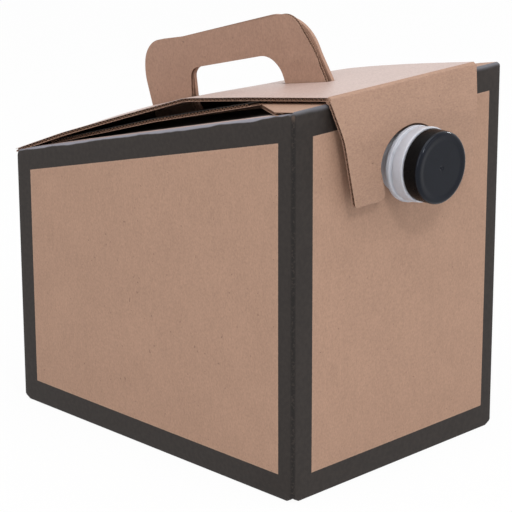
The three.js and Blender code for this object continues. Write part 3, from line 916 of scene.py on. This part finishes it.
@dataclass
class InnerFlaps:
    """The front flap and the two side flaps that lie under the lid."""

    fold_overlap: float = 1.75 * MM
    front_depth: float = 45 * MM
    front_fall: float = 0.15
    front_far_drop: float = 3 * MM
    left_front: float = 14 * MM
    dark_margin: float = 9.5 * MM
    side_back: float = 17 * MM
    side_drop: float = 1.2 * MM
    right_front: float = 42.5 * MM
    right_inset: float = 10 * MM
    right_rise_front: float = 7.8 * MM
    right_rise_middle: float = 6.4 * MM
    right_rise_back: float = 2 * MM
    window_width: float = 53 * MM
    window_front: float = -66.5 * MM
    window_back: float = 88 * MM
    ply_inside: float = 1 * MM

    def front(self) -> Piece:
        """The front flap, whose near end shows beside the tongue."""
        front = -CARTON.half_length + self.fold_overlap
        w = CARTON.half_width
        left = [(-w + 1.6 * MM, 0), (-w + 1.3 * MM, 4 * MM), (-w + 1 * MM, 12.5 * MM),
                (-w + 22.4 * MM, self.front_depth)]
        corners = [(a, front + b, 0.0) for a, b in left]
        corners += [(-a, b, r) for a, b, r in reversed(corners)]
        loop = subdivided(rounded_loop(list(reversed(corners))), 3 * MM)

        def place(flat: Points) -> Points:
            back = flat[:, 1] - front
            far = np.clip(flat[:, 0] / w, 0, 1) * back / self.front_depth
            height = CARTON.front_height - self.front_fall * back - self.front_far_drop * far - 0.02 * MM
            return np.column_stack([flat, height])

        kraft = TONGUE_KRAFT.material()
        piece = BoardPiece("front_inner_flap", [loop], place, kraft, kraft, (1, 0.25, 0)).build()
        return put_on(piece, "root", "kraft_board", "carton_body")

    def left_finish(self) -> Material:
        """The ink's colour, stopping short of the fold along a wandering line; the dark stands partly for the
        shade in the gap under the lid.
        """
        material, sheet, surface, position = started("printed_flap")
        across = sheet.value("ShaderNodeSeparateXYZ", {"Vector": position})
        kraft, _ = LID_KRAFT_PAINTED_GLARE.paper(sheet, position)
        inked = sheet.use(printed_edge_group(), {"Position": sheet.stretched(position, (1.0, 1.0, 0.2)),
                                                 "Distance": across - (self.dark_margin - CARTON.half_width),
                                                 "Softness": 0.3 * MM, "Wander": 3 * MM, "Detail": 55.0})
        sheet.feed(surface, {"Base Color": sheet.mix(inked["Beyond"], kraft, INK.ink(sheet, position)),
                             "Roughness": INK.roughness})
        return material

    def left(self) -> Piece:
        """The left flap, dark with the ink's colour on its upper face nearly up to the fold, partly as
        painted shade under the lid.
        """
        fold = -CARTON.half_width + self.fold_overlap
        front, back = -CARTON.half_length + self.left_front, CARTON.half_length - self.side_back
        corners = [(fold, front + 3 * MM, 0), (fold + 4 * MM, front, 0), (-self.ply_inside, front, 0),
                   (-self.ply_inside, back, 0), (fold, back, 0)]

        def place(flat: Points) -> Points:
            share = (flat[:, 0] - fold) / (-self.ply_inside - fold)
            height = CARTON.side_top(flat[:, 1]) - self.side_drop * share - 0.02 * MM
            return np.column_stack([flat, height])

        piece = BoardPiece("left_inner_flap", [subdivided(rounded_loop(corners), 4 * MM)], place,
                           self.left_finish(), PLY_KRAFT.material(), (0, 1, 0), spacing=6 * MM).build()
        return put_on(piece, "root", "kraft_board", "carton_body")

    def right_height(self, flat: Points) -> Points:
        """The height of the right flap's upper face, which rises to its free edge."""
        back, front = CARTON.half_length - self.side_back, -CARTON.half_length + self.right_front
        rises = (self.right_rise_back, self.right_rise_middle, self.right_rise_front)
        share = (back - flat[:, 1]) / (back - front)
        rise = np.interp(share, (0.05, 0.55, 1.0), rises)
        fold = CARTON.half_width - self.fold_overlap
        span = fold + CARTON.half_width - self.right_inset
        return CARTON.side_top(flat[:, 1]) + rise * (fold - flat[:, 0]) / span - 0.02 * MM

    def right(self) -> Piece:
        """The right flap, which crosses over the left one, with the window its handle ply left."""
        fold = CARTON.half_width - self.fold_overlap
        free = -CARTON.half_width + self.right_inset
        front, back = -CARTON.half_length + self.right_front, CARTON.half_length - self.side_back
        outline = [(fold, back, 0), (free, back, 3 * MM), (free, front, 3 * MM), (fold, front, 0)]
        radius = 3 * MM
        window = [(self.ply_inside - self.window_width, self.window_back, radius),
                  (self.ply_inside - 0.1 * MM, self.window_back, 0),
                  (self.ply_inside - 0.1 * MM, self.window_front, 0),
                  (self.ply_inside - self.window_width, self.window_front, radius)]

        def place(flat: Points) -> Points:
            return np.column_stack([flat, self.right_height(flat)])

        loops = [subdivided(rounded_loop(c), 4 * MM) for c in (outline, window)]
        # The upper face takes the ink finish, whose dark stands partly for the shade under the lid.
        piece = BoardPiece("right_inner_flap", loops, place, INK.material(), PLY_KRAFT.material(), (0, 1, 0),
                           spacing=6 * MM).build()
        return put_on(piece, "root", "kraft_board", "carton_body")

    def back_fold(self) -> Piece:
        """The bent board along the back panel's top, which fills the wedge under the lid's fold."""
        w, back = CARTON.half_width - self.fold_overlap, CARTON.half_length - CARTON.board
        top = CARTON.back_height
        section = [(back - 4 * MM, top - 3 * MM), (back - 4 * MM, top + 2.1 * MM), (back, top + 0.6 * MM),
                   (back, top - 3 * MM)]
        stock = MeshStock()
        stock.add(np.array([(x, y, z) for x in (-w, w) for y, z in section]), tube(2, len(section)), 0)
        return put_on(stock.made("back_fold", [PLY_KRAFT.material()]), "root", "kraft_board", "carton_body")

    def build(self) -> None:
        """Makes the three flaps and the fold at the back."""
        self.front()
        self.left()
        self.right()
        self.back_fold()


@dataclass
class Handle:
    """The two plies of the carrying handle."""

    spacing: float = 2 * MM
    back_corners: tuple[Corner, ...] = ((74.5, 120, 0), (74.5, 153, 0), (86.5, 186.5, 30), (86, 205.6, 16),
                                        (58, 212.2, 60))
    near_front: tuple[Corner, ...] = ((-33.2, 240.2, 13), (-49.8, 221.2, 30), (-64.4, 195.5, 0),
                                      (-64.4, 180, 0))
    far_front: tuple[Corner, ...] = ((-18, 236.6, 24), (-43, 236.6, 25), (-65, 195.5, 0), (-65, 180, 0))
    far_lean: float = 1.6 * MM
    hole: tuple[Corner, ...] = ((46.8, 170, 6), (47.2, 196, 7), (-21.5, 215.5, 15), (-32, 191, 5))
    crease_height: float = 213 * MM
    crease_depth: float = 0.55 * MM

    def ply(self, name: str, front: tuple[Corner, ...], face: float, bottom_drop: float, near: bool
            ) -> Piece:
        """One ply, cut off along the fold of its flap.

        Args:
            name: The piece's name.
            front: The corners of its front leg, from the top down.
            face: Where its right face is, across the carton.
            bottom_drop: How far below the side's top line it ends.
            near: Whether it is the near ply, with a soft crease across its leg and open flutes. The far
                one leans against it, and its edge is pressed shut.

        Returns:
            The piece, on the root.
        """
        outer, hole = ([(y * MM, z * MM, r * MM) for y, z, r in corners]
                       for corners in ((*self.back_corners, *front), self.hole))
        for end in (0, -1):
            y = outer[end][0]
            outer[end] = (y, CARTON.side_top(y) - bottom_drop, 0)
        loops = [subdivided(rounded_loop(corners, 12), 3 * MM) for corners in (outer, hole)]
        loops[1] = loops[1][::-1]

        def place(flat: Points) -> Points:
            y, z = flat[:, 0], flat[:, 1]
            wave = 0.35 * MM * np.sin(y / (31 * MM) + z / (47 * MM))
            if near:
                line = self.crease_height + 2.4 * MM * np.cos((y + 44 * MM) / (9 * MM))
                pressed = np.exp(-(((z - line) / (1.6 * MM)) ** 2))
                wave = wave - self.crease_depth * pressed / (1 + np.exp((y + 28 * MM) / (3 * MM)))
            fade = np.clip((z - CARTON.side_top(y) - 8 * MM) / (16 * MM), 0, 1)
            lean = 0 if near else self.far_lean
            return np.column_stack([face + (wave - lean) * fade, y, z])

        piece = BoardPiece(name, loops, place, PLY_KRAFT.material(), PLY_KRAFT.material(), (0, 1, 0.35),
                           spacing=3 * MM, pressed_shut=not near).build()
        return put_on(piece, "root", "kraft_board", "carton_body")

    def build(self) -> None:
        """Makes both plies, each standing on its own flap."""
        inside = self.spacing / 2
        self.ply("near_handle_ply", self.near_front, -inside, 2.2 * MM, near=True)
        self.ply("far_handle_ply", self.far_front, inside + CARTON.board, -1.0 * MM, near=False)


@dataclass
class Lid:
    """The lid panel with its slot, and the card lips that close the slot around the handle's legs."""

    fold_y: float = -111.4 * MM
    fold_z: float = 213.6 * MM
    fold_half_width: float = 57 * MM
    near_line: Line = ((-111.7, 215.6), (-62, 208.2), (-16, 200.8), (30, 183.8),
                                                  (75, 166.8), (111, 151.6))
    far_line: Line = ((-111.7, 215.6), (-62, 205.6), (-23, 197), (5, 189.8),
                                                 (35, 179.4), (60, 169), (84, 159.6), (94, 156),
                                                 (111, 151.3))
    middle_swell: Line = ((-111.7, 0), (-58, -0.6), (-27, -1), (19, 0.4), (46, 3.2),
                                                     (80, 5.6), (102, 0.8), (111, 0))
    slot_half: float = 3.6 * MM
    slot_corner: float = 1.2 * MM
    slot_front: float = -61.5 * MM
    slot_back: float = 83 * MM
    lip_gap: float = 0.35 * MM
    lip_ranges: Line = ((-61.4, -60.2), (-25, 45.6), (81, 82.9))

    def half_width(self, y: Points | float) -> Points | float:
        """Half the lid's width at a distance along the carton."""
        share = (CARTON.half_length - y) / (CARTON.half_length - self.fold_y)
        return CARTON.half_width + (self.fold_half_width - CARTON.half_width) * share

    def place(self, flat: Points) -> Points:
        """The lid's upper face, which swells in the middle and is bent further at its near side."""
        y = flat[:, 1]
        near, far = self.softened(self.near_line, y, 3 * MM), self.softened(self.far_line, y, 14 * MM)
        across = np.clip(flat[:, 0] / self.half_width(y), -1, 1)
        edge = near * (1 - across) / 2 + far * (1 + across) / 2
        middle = self.softened(self.middle_swell, y, 9 * MM)
        return np.column_stack([flat, edge + middle * (1 - across**2) ** 1.6])

    def softened(self, line: Line, y: Points, soft: float) -> Points:
        """Heights along a bent line whose bends are rounded, except at its ends."""
        known = np.array(line) * MM
        straight = np.interp(y, known[:, 0], known[:, 1])
        averaged = sum(np.interp(y + d * soft, known[:, 0], known[:, 1]) for d in (-1, -0.5, 0, 0.5, 1)) / 5
        inside = np.clip(np.minimum(y - known[0, 0], known[-1, 0] - y) / soft - 1, 0, 1)
        return straight + (averaged - straight) * inside

    def panel(self) -> Piece:
        """The lid panel itself."""
        w, back, f, front = CARTON.half_width, CARTON.half_length, self.fold_half_width, self.fold_y
        outline = [(w, back, 0), (-w, back, 0), (-f, front, 0), (f, front, 0)]
        s, r, back, front = self.slot_half, self.slot_corner, self.slot_back, self.slot_front
        slot = [(-s, back, r), (s, back, r), (s, front, r), (-s, front, r)]
        loops = [subdivided(rounded_loop(c), 3 * MM) for c in (outline, slot)]
        # The upper face takes the lid's kraft, painted lighter to stand for the glare on the lid.
        piece = BoardPiece("lid_panel", loops, self.place, LID_KRAFT_PAINTED_GLARE.material(), PLY_KRAFT.material(),
                           (0, 1, 0)).build()
        return put_on(piece, "lid", "kraft_board", "lid")

    def lip(self, side: int) -> Piece:
        """The pressed edge of the slot on one side, which goes with the lid as it opens."""
        stock = MeshStock()
        near, far = sorted((side * self.slot_half, side * self.lip_gap))
        for low, high in np.array(self.lip_ranges) * MM:
            loop = subdivided(np.array([(near, low), (far, low), (far, high), (near, high)]), 1.5 * MM)
            layer = BoardPiece("slot_lip", [loop], self.place, LID_KRAFT_PAINTED_GLARE.material(), LID_KRAFT_PAINTED_GLARE.material(),
                               (0, 1, 0), spacing=2 * MM)
            stock.add(*layer.layer([loop], 0.03 * MM, CARTON.board), 0)
        name = "near_slot_lip" if side < 0 else "far_slot_lip"
        piece = put_on(stock.made(name, [LID_KRAFT_PAINTED_GLARE.material()]), "lid", "kraft_board")
        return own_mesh(piece)

    def build(self) -> None:
        """Makes the lid and both lips."""
        self.panel()
        self.lip(-1)
        self.lip(1)


@dataclass
class Tongue:
    """The lid's front flap, with a roll at the fold and a notch that straddles the spout."""

    lid: Lid
    kink_y: float = -119 * MM
    kink_z: float = 193.3 * MM
    kink_half_width: float = 51.8 * MM
    kink_softness: float = 2.2 * MM
    bottom_y: float = -120.6 * MM
    bottom_z: float = 156.6 * MM
    bottom_half_width: float = 45 * MM
    corner_radius: float = 3.5 * MM
    notch_left: float = 25.4 * MM
    notch_right: float = 22 * MM
    notch_rise: float = 20.2 * MM
    notch_mouth: float = 22 * MM
    spout_height: float = 172.8 * MM
    roll_recess: float = 0.7 * MM
    roll_steps: int = 40
    roll_spans: int = 28

    def tangent(self) -> tuple[float, float]:
        """Where the straight part leaves the roll at the fold, as Y and Z."""
        dy, dz = self.kink_y - self.lid.fold_y, self.kink_z - self.lid.fold_z
        angle = math.atan2(dz, dy) % (2 * math.pi) - math.acos(CARTON.board / math.hypot(dy, dz))
        return (self.lid.fold_y + CARTON.board * math.cos(angle),
                self.lid.fold_z + CARTON.board * math.sin(angle))

    def place(self, flat: Points) -> Points:
        """The tongue's outer face, which leans out to its kink and then hangs down."""
        top_y, top_z = self.tangent()
        upper = (top_y - self.kink_y) / (top_z - self.kink_z)
        lower = (self.kink_y - self.bottom_y) / (self.kink_z - self.bottom_z)
        rise = flat[:, 1] - self.kink_z
        soft = self.kink_softness * np.logaddexp(0, rise / self.kink_softness)
        return np.column_stack([flat[:, 0], self.kink_y + lower * rise + (upper - lower) * soft, flat[:, 1]])

    def outline(self) -> Points:
        """The cut shape, as across and up."""
        top = self.tangent()[1]
        n, b, z = self.notch_mouth, self.bottom_half_width, self.bottom_z
        left = [(-self.lid.fold_half_width, top, 0), (-self.kink_half_width, self.kink_z, 8 * MM),
                (-b, z, 1 * MM), (-n, z, self.corner_radius), (-n - 0.8 * MM, z + 6 * MM, 6 * MM)]
        steps, arc = 20, []
        for k in range(steps + 1):
            turn = math.pi * k / steps
            wide = self.notch_left if 2 * k < steps else self.notch_right
            arc.append((-wide * math.cos(turn), self.spout_height + self.notch_rise * math.sin(turn), 0))
        right = [(n, z, self.corner_radius), (b, z, 1 * MM),
                 (self.kink_half_width, self.kink_z, 8 * MM), (self.lid.fold_half_width, top, 0)]
        return subdivided(rounded_loop([*left, *arc, *right]), 2.5 * MM)

    def roll(self) -> tuple[Points, Faces, int]:
        """The rounded board at the fold, which looks the same however far the tongue is turned."""
        half = self.lid.fold_half_width - self.roll_recess
        radius = CARTON.board - 0.01 * MM
        turns = [2 * math.pi * k / self.roll_steps for k in range(self.roll_steps)]
        ring = [(self.lid.fold_y + radius * math.cos(a), self.lid.fold_z + radius * math.sin(a))
                for a in turns]
        vertices = [(half * (2 * i / self.roll_spans - 1), y, z) for i in range(self.roll_spans + 1)
                    for y, z in ring]
        return np.array(vertices), tube(self.roll_spans + 1, self.roll_steps), 0

    def build(self) -> Piece:
        """Makes the tongue and puts it on its body."""
        piece = BoardPiece("tongue_panel", [self.outline()], self.place, TONGUE_KRAFT.material(),
                           PLY_KRAFT.material(), (0, 0, 1), spacing=3 * MM, extra=[self.roll()]).build()
        return put_on(piece, "tongue", "kraft_board", "tongue")


# Spout


@dataclass(frozen=True)
class PlasticFinish:
    """Moulded plastic with faint flow and handling marks."""

    name: str
    colour: Colour
    roughness: float
    specular: float = 0.5
    tint: Colour = (1.0, 1.0, 1.0)
    milkiness: float = 0.0
    mottle: float = 0.06
    bump: float = 0.04

    @cache
    def material(self) -> Material:
        """The finish as a material, made once."""
        material, sheet, surface, position = started(self.name)
        clouds = sheet.ramp(sheet.noise(position, 110.0, 3.0), 0.3, 0.7)
        rough = sheet.ramp(sheet.noise(position, 420.0, 4.0), 0.3, 0.75, self.roughness * 0.88,
                           self.roughness * 1.15)
        sheet.feed(surface, {"Base Color": sheet.mix(clouds, *toned(self.colour, self.mottle)),
                             "Roughness": rough, "Specular IOR Level": self.specular,
                             "Specular Tint": opaque(self.tint), "Subsurface Weight": self.milkiness,
                             "Subsurface Radius": (1.0, 0.95, 0.9), "Subsurface Scale": 4 * MM})
        sheet.relief(surface, sheet.noise(position, 240.0), self.bump, 0.2 * MM)
        return material


def arc_points(radius: float, y: float, edge: float, start_deg: float, end_deg: float, steps: int = 8
               ) -> list[tuple[float, float]]:
    """Points of a rounded edge about (radius, y), with 0 degrees outward and 90 towards the front."""
    angles = [math.radians(start_deg + (end_deg - start_deg) * k / steps) for k in range(steps + 1)]
    return [(radius + edge * math.cos(a), y - edge * math.sin(a)) for a in angles]


@dataclass
class Spout:
    """The moulded spout, its black cap and the cap's liner."""

    height: float = 172.8 * MM
    front: float = -CARTON.half_length
    barrel_radius: float = 20.2 * MM
    barrel_reach: float = 18.4 * MM
    stem_radius: float = 16.6 * MM
    ring_reach: float = 7.2 * MM
    ring_swell: float = 0.4 * MM
    groove_reach: float = 11 * MM
    groove_half: float = 0.7 * MM
    groove_depth: float = 1 * MM
    edge: float = 0.7 * MM
    collar_radius: float = 27 * MM
    collar_thickness: float = 2 * MM
    neck_radius: float = 17 * MM
    neck_length: float = 6.8 * MM
    bore_radius: float = 14.6 * MM
    thread_height: float = 0.6 * MM
    thread_middles: tuple[float, ...] = (2.7 * MM, 5.2 * MM)
    thread_foot: float = 0.6 * MM
    thread_crest: float = 0.15 * MM
    neck_fillet: float = 0.5 * MM
    sag: float = 1.4 * MM
    sag_length: float = 10 * MM
    cap_radius: float = 19.4 * MM
    cap_height: float = 10.2 * MM
    cap_wall: float = 1.4 * MM
    cap_top: float = 2 * MM
    cap_edge: float = 1.9 * MM
    cap_dish: float = 0.4 * MM
    cap_foot: float = 0.35 * MM
    gate_mark: Line = ((1.5, 0), (1.1, -0.22), (0.7, -0.25), (0.45, 0.12), (0, 0.15))
    gap: float = 0.3 * MM

    def at(self, reach: float) -> float:
        """The place along Y at a reach in front of the panel."""
        return self.front - reach

    def moulding(self) -> Piece:
        """The collar, the stem, the two rings and the threaded neck, with the rings hanging a little low."""
        r, e, at = self.barrel_radius, self.edge, self.at
        collar = -CARTON.board - self.gap
        neck_end = self.barrel_reach + self.neck_length
        g0, g1 = self.groove_reach - self.groove_half, self.groove_reach + self.groove_half
        back, rim, neck = collar - self.collar_thickness, self.collar_radius, self.neck_radius
        profile = [(self.bore_radius, at(back)), (rim - e, at(back)), (rim, at(back + e)),
                   (rim, at(collar)), (self.stem_radius, at(collar)),
                   (self.stem_radius, at(self.ring_reach)), (r - e, at(self.ring_reach))]
        profile += arc_points(r + self.ring_swell - e, at(self.ring_reach + e), e, -90, 0, 4)[1:]
        profile += arc_points(r + self.ring_swell - e, at(g0 - e), e, 0, 90, 4)
        profile += [(r - self.groove_depth, at(self.groove_reach))]
        profile += arc_points(r - e, at(g1 + e), e, -90, 0, 4)
        profile += arc_points(r - e, at(self.barrel_reach - e), e, 0, 90, 6)
        profile += [(neck + self.neck_fillet, at(self.barrel_reach)),
                    (neck, at(self.barrel_reach + self.neck_fillet))]
        thread = ((0, -self.thread_foot), (self.thread_height, -self.thread_crest),
                  (self.thread_height, self.thread_crest), (0, self.thread_foot))
        profile += [(neck + up, at(self.barrel_reach + middle + along))
                    for middle in self.thread_middles for up, along in thread]
        profile += [(neck, at(neck_end)), (self.bore_radius, at(neck_end))]
        vertices, faces = turned(profile, 0.0, self.height)
        reach = self.front - vertices[:, 1]
        vertices[:, 2] -= self.sag * np.clip((self.barrel_reach - reach) / self.sag_length, 0, 1)
        stock = MeshStock()
        stock.add(vertices, faces, 0)
        finish = PlasticFinish("milky_plastic", linear(180, 182, 190), 0.36, milkiness=0.75)
        return put_on(stock.made("spout_moulding", [finish.material()], 30), "root", "spout_plastic",
                      "spout_fitment")

    def cap(self) -> Piece:
        """The cap: a cup with a rounded edge, a shallow dish and the gate mark at its middle."""
        back = self.barrel_reach + self.gap
        face = back + self.cap_height
        r, e, at = self.cap_radius, self.cap_edge, self.at
        inside = r - self.cap_wall
        inner_face = at(face - self.cap_top)
        profile = [(0, inner_face), (inside, inner_face), (inside, at(back)), (r - self.cap_foot, at(back)),
                   (r, at(back + self.cap_foot))]
        profile += arc_points(r - e, at(face - e), e, 0, 90, 10)
        profile += [(r - e - 0.8 * MM, at(face - 0.02 * MM)),
                    (r - e - 2.2 * MM, at(face - self.cap_dish * 0.8))]
        profile += [(ring * MM, at(face - self.cap_dish)) for ring in (14.3, 14, 11, 8, 5, 2.6, 1.7)]
        profile += [(radius * MM, at(face - self.cap_dish + up * MM)) for radius, up in self.gate_mark]
        vertices, faces = turned(profile, 0.0, self.height)
        stock = MeshStock()
        stock.add(vertices, faces, 0)
        skirt = at(face - e)
        stock.slots = [int(min(vertices[i][1] for i in corners) >= skirt - 0.01 * MM) for corners in faces]
        polished = PlasticFinish("black_plastic", linear(12, 14, 22), 0.15, specular=0.2,
                                 tint=(0.84, 0.9, 1.0), mottle=0.1)
        satin = PlasticFinish("black_plastic_skirt", linear(13, 13, 14), 0.3, specular=0.06)
        materials = [polished.material(), satin.material()]
        return put_on(stock.made("screw_cap", materials, 30), "cap", "cap_plastic", "cap")

    def liner(self) -> None:
        """The sealing disc keeps its CAD shape and gets its foam finish."""
        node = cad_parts["cap_liner"]
        node.data.materials.clear()
        finish = PlasticFinish("foam_disc", linear(228, 228, 222), 0.8, mottle=0.08, bump=0.3)
        node.data.materials.append(finish.material())

    def build(self) -> None:
        """Makes the moulding and the cap, and dresses the liner."""
        self.moulding()
        self.cap()
        self.liner()


@dataclass
class DrinkBag:
    """The filled film bag that the spout is welded to."""

    rows: int = 44
    columns: int = 88
    squareness: float = 0.42
    wrinkle: float = 1.3 * MM
    folds: tuple[tuple[int, int, float], ...] = ((9, 3, 1.0), (17, -5, 0.6))
    seam_height: float = 0.92
    seam_width: float = 0.16
    slack: float = 0.21
    seam_pull: float = 0.6
    back_fall: float = 0.31

    def finish(self) -> Material:
        """Satin film with fine crinkles."""
        material, sheet, surface, position = started("satin_film")
        tone = sheet.ramp(sheet.noise(position, 60.0, 4.0), 0.35, 0.7)
        colour = sheet.mix(tone, solid(176, 180, 186), solid(214, 217, 222))
        rough = sheet.ramp(sheet.noise(position, 160.0, 3.0), 0.3, 0.7, 0.24, 0.4)
        sheet.feed(surface, {"Base Color": colour, "Roughness": rough, "Metallic": 0.25})
        crinkle = sheet.noise(sheet.stretched(position, (1.0, 1.0, 0.4)), 120.0, 5.0)
        sheet.relief(surface, crinkle, 0.5, 0.8 * MM)
        return material

    def build(self) -> Piece:
        """A slack pillow in the bag's CAD box, lower at the back, pulled into wrinkles at its seams."""
        lo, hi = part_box("bag")
        half = (hi - lo) / 2
        turn, tilt = np.meshgrid(2 * math.pi * np.arange(self.columns) / self.columns,
                                 math.pi * (np.arange(1, self.rows) / self.rows - 0.5))
        ball = np.stack([np.cos(tilt) * np.cos(turn), np.cos(tilt) * np.sin(turn), np.sin(tilt)])
        x, y, z = np.sign(ball) * np.abs(ball) ** self.squareness
        seam = np.exp(-(((z - self.seam_height) / self.seam_width) ** 2))
        fold = sum(share * np.sin(around * turn + up * z) for around, up, share in self.folds)
        fold = self.wrinkle * fold * (self.slack + self.seam_pull * seam)
        fall = self.back_fall * (1 + y) / 2 * (1 + z) / 2
        points = np.stack([x * (half.x - 2 * self.wrinkle) + fold * np.abs(x),
                           y * (half.y - 2 * self.wrinkle) + fold * np.abs(y),
                           z * (half.z - self.wrinkle) - fall * 2 * half.z], axis=-1)
        stock = MeshStock()
        stock.add(points.reshape(-1, 3) + np.array((lo + hi) / 2), tube(self.rows - 1, self.columns), 0)
        return put_on(stock.made("drink_bag", [self.finish()], 70), "root", "bag_film", "bag")


# Stage


@dataclass
class Studio:
    """A white sweep, soft lamps and the camera at the photo's viewpoint."""

    target: tuple[float, float, float] = (1.89 * MM, 0.0, 93.37 * MM)
    azimuth_deg: float = -44.5934
    elevation_deg: float = 17.6516
    roll_deg: float = -0.1829
    distance: float = 1333.1 * MM
    focal_px: float = 2339.43
    world_strength: float = 0.58
    floor_half: float = 3.0
    floor_drop: float = 0.2 * MM
    floor_glow: float = 0.95
    lamps: tuple[tuple[str, tuple[float, float, float], float, float], ...] = (
        ("overhead", (-0.25, -0.2, 1.7), 1.5, 14.5), ("left", (-1.5, -0.4, 0.9), 1.0, 4.4),
        ("front", (0.5, -1.6, 0.8), 1.0, 2.2), ("front_left_glint", (-0.5, -1.1, 1.1), 0.22, 5.0),
        ("right_glint", (1.35, -0.25, 0.75), 0.2, 4.5))

    def camera(self) -> None:
        """Sets the camera from the angles, distance and focal length."""
        az, el = math.radians(self.azimuth_deg), math.radians(self.elevation_deg)
        back = Vector((math.sin(az) * math.cos(el), -math.cos(az) * math.cos(el), math.sin(el)))
        right = (-back).cross(Vector((0, 0, 1))).normalized()
        up = right.cross(-back)
        roll = math.radians(self.roll_deg)
        right, up = (math.cos(roll) * right + math.sin(roll) * up,
                     math.cos(roll) * up - math.sin(roll) * right)
        data = bpy.data.cameras.new("camera")
        data.sensor_width = SENSOR_MM
        data.lens = self.focal_px * SENSOR_MM / PHOTO_SIDE_PX
        data.clip_start, data.clip_end = 0.05, 20.0
        camera = linked("camera", data)
        turn = Matrix((right, up, back)).transposed().to_4x4()
        camera.matrix_world = Matrix.Translation(Vector(self.target) + back * self.distance) @ turn
        bpy.context.scene.camera = camera

    def lamp(self, name: str, place: tuple[float, float, float], size: float, watts: float) -> None:
        """A square soft lamp that faces the carton's middle."""
        data = bpy.data.lights.new(name, "AREA")
        data.shape = "SQUARE"
        data.size = size
        data.energy = watts
        lamp = linked(name, data)
        turn = (Vector(self.target) - Vector(place)).to_track_quat("-Z", "Y")
        lamp.matrix_world = Matrix.Translation(Vector(place)) @ turn.to_matrix().to_4x4()

    def direct_view(self, sheet: NodeSheet) -> Signal:
        """1 for what the camera sees, also in a gloss or through a clear piece, and 0 for other light."""
        path = sheet.signals(sheet.add("ShaderNodeLightPath"))
        return sheet.most(path["Is Camera Ray"], path["Is Glossy Ray"], path["Is Transmission Ray"])

    def world(self) -> None:
        """White where the camera, a gloss or a clear piece sees it, and softer as a light."""
        world = bpy.data.worlds.new("studio")
        world.use_nodes = True
        sheet = NodeSheet(world.node_tree)
        strength = sheet.ramp(self.direct_view(sheet), 0.0, 1.0, self.world_strength, 1.0)
        background = sheet.value("ShaderNodeBackground", {"Color": (1, 1, 1, 1), "Strength": strength})
        sheet.add("ShaderNodeOutputWorld", {"Surface": background})
        bpy.context.scene.world = world

    def floor(self) -> None:
        """A pale floor that the camera sees as white with the carton's soft shadow."""
        half = self.floor_half
        corners = ((-half, -half), (half, -half), (half, half), (-half, half))
        stock = MeshStock([(x, y, -self.floor_drop) for x, y in corners], [(0, 1, 2, 3)], [0])
        material = bpy.data.materials.new("studio_floor")
        material.use_nodes = True
        sheet = NodeSheet(material.node_tree)
        plain = sheet.value("ShaderNodeBsdfDiffuse", {"Color": opaque((0.8, 0.8, 0.8))})
        glow = sheet.value("ShaderNodeEmission", {"Color": (1, 1, 1, 1), "Strength": 1.0})
        seen = self.direct_view(sheet) * self.floor_glow
        mixed = sheet.value("ShaderNodeMixShader", {0: seen, 1: plain, 2: glow})
        sheet.add("ShaderNodeOutputMaterial", {"Surface": mixed})
        stock.made("floor", [material])

    def build(self) -> None:
        """Sets up the stage."""
        bpy.context.scene.view_settings.view_transform = "Standard"
        self.camera()
        self.world()
        self.floor()
        for name, place, size, watts in self.lamps:
            self.lamp(name, place, size, watts)


def main() -> None:
    """Builds the box, sub-assembly by sub-assembly."""
    logging.basicConfig(level=logging.INFO, format="%(message)s")
    Studio().build()
    CartonWalls().build()
    InnerFlaps().build()
    Handle().build()
    lid = Lid()
    lid.build()
    Tongue(lid).build()
    Spout().build()
    DrinkBag().build()


if __name__ == "__main__":
    main()
